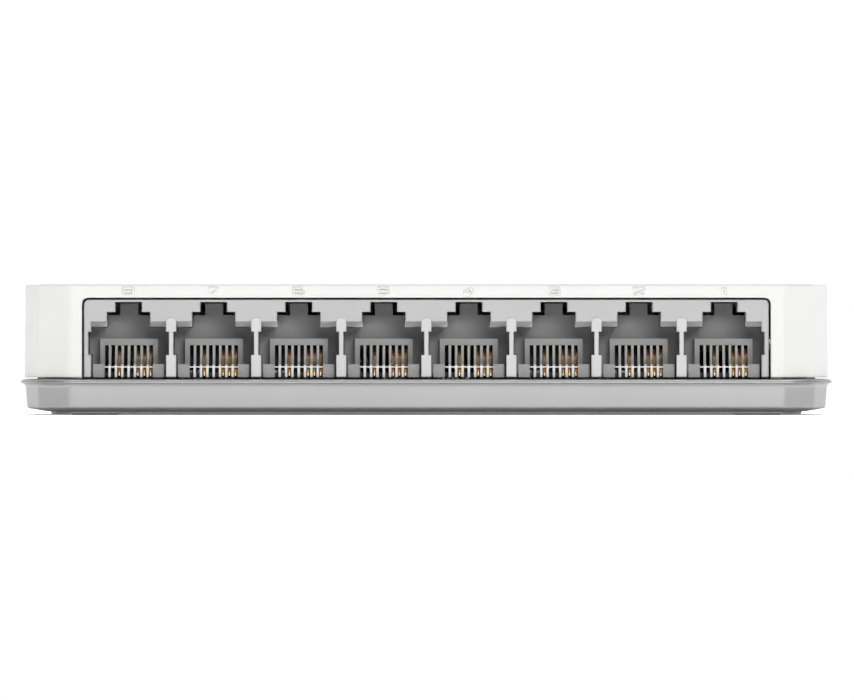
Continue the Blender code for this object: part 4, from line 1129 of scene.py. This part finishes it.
low, high = limits("inductor")
centre = ((low + high) / 2)[:2]
coil_foot = box_outline((low[0], high[0]), (low[1], high[1]), 1.2, 6)
coil = new_object("coil_block", extruded(2, coil_foot, (low[2], high[2])), chip_epoxy)
GROOVE_INNER, GROOVE_OUTER, GROOVE_DEPTH, GROOVE_SIDES = 2.75, 3.0, 0.35, 56
groove_z = (high[2] - GROOVE_DEPTH, high[2] + 0.5)
groove = [(GROOVE_INNER, groove_z[0]), (GROOVE_OUTER, groove_z[0]), (GROOVE_OUTER, groove_z[1]),
          (GROOVE_INNER, groove_z[1]), (GROOVE_INNER, groove_z[0])]
groove_rings = [along(2, circle(centre, radius, GROOVE_SIDES), z) for radius, z in groove]
carve(coil, [(np.concatenate(groove_rings), grid_faces(len(groove), GROOVE_SIDES).tolist())])
soften_edges(coil, 0.12)
settle(coil, "chip_epoxy", "root", "inductor")
print("can", len(can.data.polygons), "sleeve", len(sleeve.data.polygons), "coil", len(coil.data.polygons))

# %% [markdown]
# ## The power socket
# The socket is a block with a round bore for the plug. A pin stands in the middle of the bore and makes
# one contact, a springy leaf in a slot at the side makes the other. The pin is turned with a round tip.
# The leaf is a strip with a bowed end that bears on the plug, and it hangs on its own body.

# %% The socket, its pin and its leaf
SOCKET_BORE, BORE_DEPTH, BORE_EDGE, PIN_RADIUS = 3.15, 10.0, 0.45, 1.0
REAR_STEP_DEPTH, REAR_STEP_WIDTH, REAR_STEP_HEIGHT = 1.2, 5.0, 1.4
PANEL_DEPTH, PANEL_HEIGHT = 0.5, 6.0
face_x, back_x = socket_high[0], socket_low[0]
body_outline = box_outline((socket_low[1], socket_high[1]), (socket_low[2], socket_high[2]), 0.35, 4)
socket = new_object("power_socket", extruded(0, body_outline, (back_x, face_x)), black_plastic)
leaf_low, leaf_high = limits("socket_leaf")
bore_end = face_x - BORE_DEPTH
bore = [(SOCKET_BORE + growth, place) for growth, place in hole_rows(face_x, -1, BORE_EDGE, bore_end)]
carve(socket, [turned(0, socket_centre, bore, 64)])
carve(socket, [rod(0, socket_centre, PIN_RADIUS + GAP, (back_x - 1, bore_end + 1), 40)])
socket_y, socket_z = socket_centre
leaf_slot = slab((leaf_low[0] - 0.6, leaf_high[0] + GAP), (socket_low[1] - 1, leaf_high[1]),
                 middle(socket_z, leaf_high[2] - leaf_low[2] + 2 * GAP))
rear_step = slab((back_x - 1, back_x + REAR_STEP_DEPTH), middle(socket_y, REAR_STEP_WIDTH),
                 (socket_high[2] - REAR_STEP_HEIGHT, socket_high[2] + 1))
side_panel = slab((back_x + 3.5, face_x - 2.5), (socket_high[1] - PANEL_DEPTH, socket_high[1] + 1),
                  middle(socket_z, PANEL_HEIGHT))
carve(socket, [leaf_slot, rear_step, side_panel])
soften_edges(socket, 0.15)
settle(socket, "black_plastic", "root", "socket_body")

pin_low, pin_high = limits("socket_pin")
turn = np.linspace(0, math.pi / 2, 8)
TIP_LENGTH, TIP_END = 0.9, 0.03
tip_start, tip_narrowing = pin_high[0] - TIP_LENGTH, PIN_RADIUS - TIP_END
pin_profile = [(AXIS, pin_low[0]), (0.8, pin_low[0]), (PIN_RADIUS, pin_low[0] + 0.2)]
pin_profile += [(TIP_END + tip_narrowing * math.cos(t), tip_start + TIP_LENGTH * math.sin(t)) for t in turn]
pin = new_object("socket_pin_turned", turned(0, socket_centre, pin_profile, 40), nickel)
settle(pin, "nickel", "root", "socket_pin")

LEAF_BOW, STRIP_HALF = 0.08, 0.09
leaf_y, leaf_half = leaf_low[1] + 0.1, (leaf_high[2] - leaf_low[2]) / 2
bow = [(leaf_low[0], leaf_y), (leaf_low[0] + 1.6, leaf_y), (leaf_low[0] + 4.2, leaf_y + LEAF_BOW),
       (leaf_high[0] - 0.9, leaf_y + LEAF_BOW), (leaf_high[0], leaf_y)]
above = [(STRIP_HALF, leaf_half - 0.1), (STRIP_HALF - 0.04, leaf_half)]
below = [(x, -z) for x, z in reversed(above)]
strip = np.array(below + above + [(-x, -z) for x, z in below + above])
leaf_points, leaf_faces = carried(rounded(bow, [0, 0.8, 1.0, 0.6, 0], 8), strip, 2)
leaf = new_object("leaf_spring", (leaf_points + (0, 0, socket_z), leaf_faces), nickel)
settle(leaf, "nickel", "socket_spring", "socket_leaf")
print("socket", len(socket.data.polygons), "pin", len(pin.data.polygons), "leaf", len(leaf.data.polygons))

# %% [markdown]
# ## The light guide
# One clear moulding carries the lamps' light to the front wall: a leg stands over each lamp, a rail joins
# the legs, and a short bar ends in each of the wall's windows with a softly domed face. The bars and the
# legs are joined to the rail with a Boolean, because a clear piece mustn't have walls inside it.

# %% The light guide
RAIL_DEPTH, RAIL_HEIGHT, GUIDE_LEG_WIDTH, GUIDE_LEG_DEPTH, LENS_DOME = 3.0, 2.4, 2.0, 1.4, 0.3
rail_face = front_wall - WALL - GAP
rail_section = box_outline((rail_face - RAIL_DEPTH, rail_face), middle(lens_z, RAIL_HEIGHT), 0.35, 4)
guide = new_object("lamp_guide", extruded(0, rail_section, (guide_low[0], guide_high[0])), lamp_clear)
bar_rows = [(0, rail_face - 0.5)]
bar_rows += [(-inset * 0.9, guide_high[1] - drop) for inset, drop in quarter_round(LENS_DOME, 5)]
leg_rows = [(-0.12, guide_low[2]), (0, guide_low[2] + 0.3), (0, lens_z - RAIL_HEIGHT / 2 + 0.5)]
leg_y = (guide_low[1], guide_low[1] + GUIDE_LEG_DEPTH)
bars, guide_legs = [], []
for x in lens_places:
    bars.append(stacked(1, box_outline(middle(x, LENS_WIDTH), middle(lens_z, LENS_HEIGHT), 0.3), bar_rows))
    guide_legs.append(stacked(2, box_outline(middle(x, GUIDE_LEG_WIDTH), leg_y, 0.25), leg_rows))
carve(guide, [gather(bars), gather(guide_legs)], "UNION")
settle(guide, "lamp_clear", "root", "light_guide")
print("light guide:", len(guide.data.polygons), "faces")

# %% [markdown]
# ## The circuit board
# The board is a flat sheet with two notches round the screw posts, which the frame already has. It keeps
# that shape, and the finish lays lacquered traces over it.

# %% The board's finish
board = frame["nodes"]["circuit_board"]
board.data.materials.clear()
board.data.materials.append(board_green)
print("the board keeps its", len(board.data.polygons), "faces")

# %% [markdown]
# ## The floor, the lights and the camera
# The switch stands on a white floor. The room's own light is white behind the switch and dim in front of
# it, which shades the first facets of the corners. A wide soft lamp in front, a little above and to the
# right, lights the face, and a smaller one hangs overhead. One more lamp lights only the floor and casts
# no shadow of the switch, so the floor stays white. The camera is level with the middle of the switch and
# far away with a long lens, so that hardly any of the tunnels' sides shows.

# %% Floor, lights and camera
FLOOR_SIDE, FLOOR_NEAR, FLOOR_FAR = 2000, -2500, 900
floor_corners = [(-FLOOR_SIDE, FLOOR_NEAR, 0), (FLOOR_SIDE, FLOOR_NEAR, 0), (FLOOR_SIDE, FLOOR_FAR, 0),
                 (-FLOOR_SIDE, FLOOR_FAR, 0)]
floor = new_object("floor", (np.array(floor_corners, float), [[0, 1, 2, 3]]))
floor_finish = Finish("floor_white", (0.95, 0.95, 0.95), 0.6)
floor_finish.tint(floor_finish.speckle(300, 1.0), (0.94, 0.94, 0.94), (0.96, 0.96, 0.96))
floor.data.materials.append(floor_finish.material)

FRONT_LIGHT, BACK_LIGHT, LIGHT_TURN = 0.1, 1.02, 0.3


def make_room():
    """The room's light by direction: white behind the switch, dim in front, a smooth turn between."""
    room = bpy.data.worlds.new("room")
    room.use_nodes = True
    tree = room.node_tree
    direction = tree.nodes.new("ShaderNodeTexCoord").outputs["Generated"]
    split = tree.nodes.new("ShaderNodeSeparateXYZ")
    tree.links.new(direction, split.inputs[0])
    tree.nodes["Background"].inputs["Color"].default_value = (1, 1, 1, 1)
    ramp = tree.nodes.new("ShaderNodeMapRange")
    ramp.interpolation_type = "SMOOTHSTEP"
    limits_and_levels = {"From Min": -LIGHT_TURN, "From Max": LIGHT_TURN,
                         "To Min": FRONT_LIGHT, "To Max": BACK_LIGHT}
    for name, value in limits_and_levels.items():
        ramp.inputs[name].default_value = value
    tree.links.new(split.outputs["Y"], ramp.inputs["Value"])
    tree.links.new(ramp.outputs[0], tree.nodes["Background"].inputs["Strength"])
    return room


bpy.context.scene.world = make_room()


def area_light(name, place, target, size, power):
    lamp = bpy.data.lights.new(name, "AREA")
    lamp.shape = "RECTANGLE"
    lamp.size, lamp.size_y = size
    lamp.energy = power
    obj = bpy.data.objects.new(name, lamp)
    obj.location = place
    direction = np.array(target) - np.array(place)
    obj.rotation_euler = Vector(direction).to_track_quat("-Z", "Y").to_euler()
    obj.visible_camera = False
    bpy.context.scene.collection.objects.link(obj)
    return obj


KEY_POWER, TOP_POWER, FLOOR_POWER = 18.3, 6.5, 42.0  # watts
SWITCH_MIDDLE = (0, 0, 0.01)
area_light("key", (0.3, -2.4, 0.53), SWITCH_MIDDLE, (0.7, 0.3), KEY_POWER)
area_light("top_light", (0.15, -0.35, 1.3), SWITCH_MIDDLE, (0.6, 0.6), TOP_POWER)
over_floor = area_light("over_floor", (0, -0.3, 1.5), (0, -0.3, 0), (3.0, 3.0), FLOOR_POWER)
floor_only = bpy.data.collections.new("floor_only")
floor_only.objects.link(floor)
over_floor.light_linking.receiver_collection = floor_only
over_floor.light_linking.blocker_collection = floor_only

CAMERA_DISTANCE = 5.2
CAMERA_SIDE = 0.00011
VIEW_WIDTH = 0.1402
EYE_HEIGHT = 0.01067
camera_data = bpy.data.cameras.new("camera")
camera_data.sensor_width = 36.0
camera_data.lens = camera_data.sensor_width * CAMERA_DISTANCE / VIEW_WIDTH
camera_data.clip_end = 30.0
camera = bpy.data.objects.new("camera", camera_data)
camera.location = (CAMERA_SIDE, jack_low[1] * MM - CAMERA_DISTANCE, EYE_HEIGHT)
camera.rotation_euler = (math.pi / 2, 0, 0)
bpy.context.scene.collection.objects.link(camera)
bpy.context.scene.camera = camera
bpy.context.scene.view_settings.view_transform = "Standard"
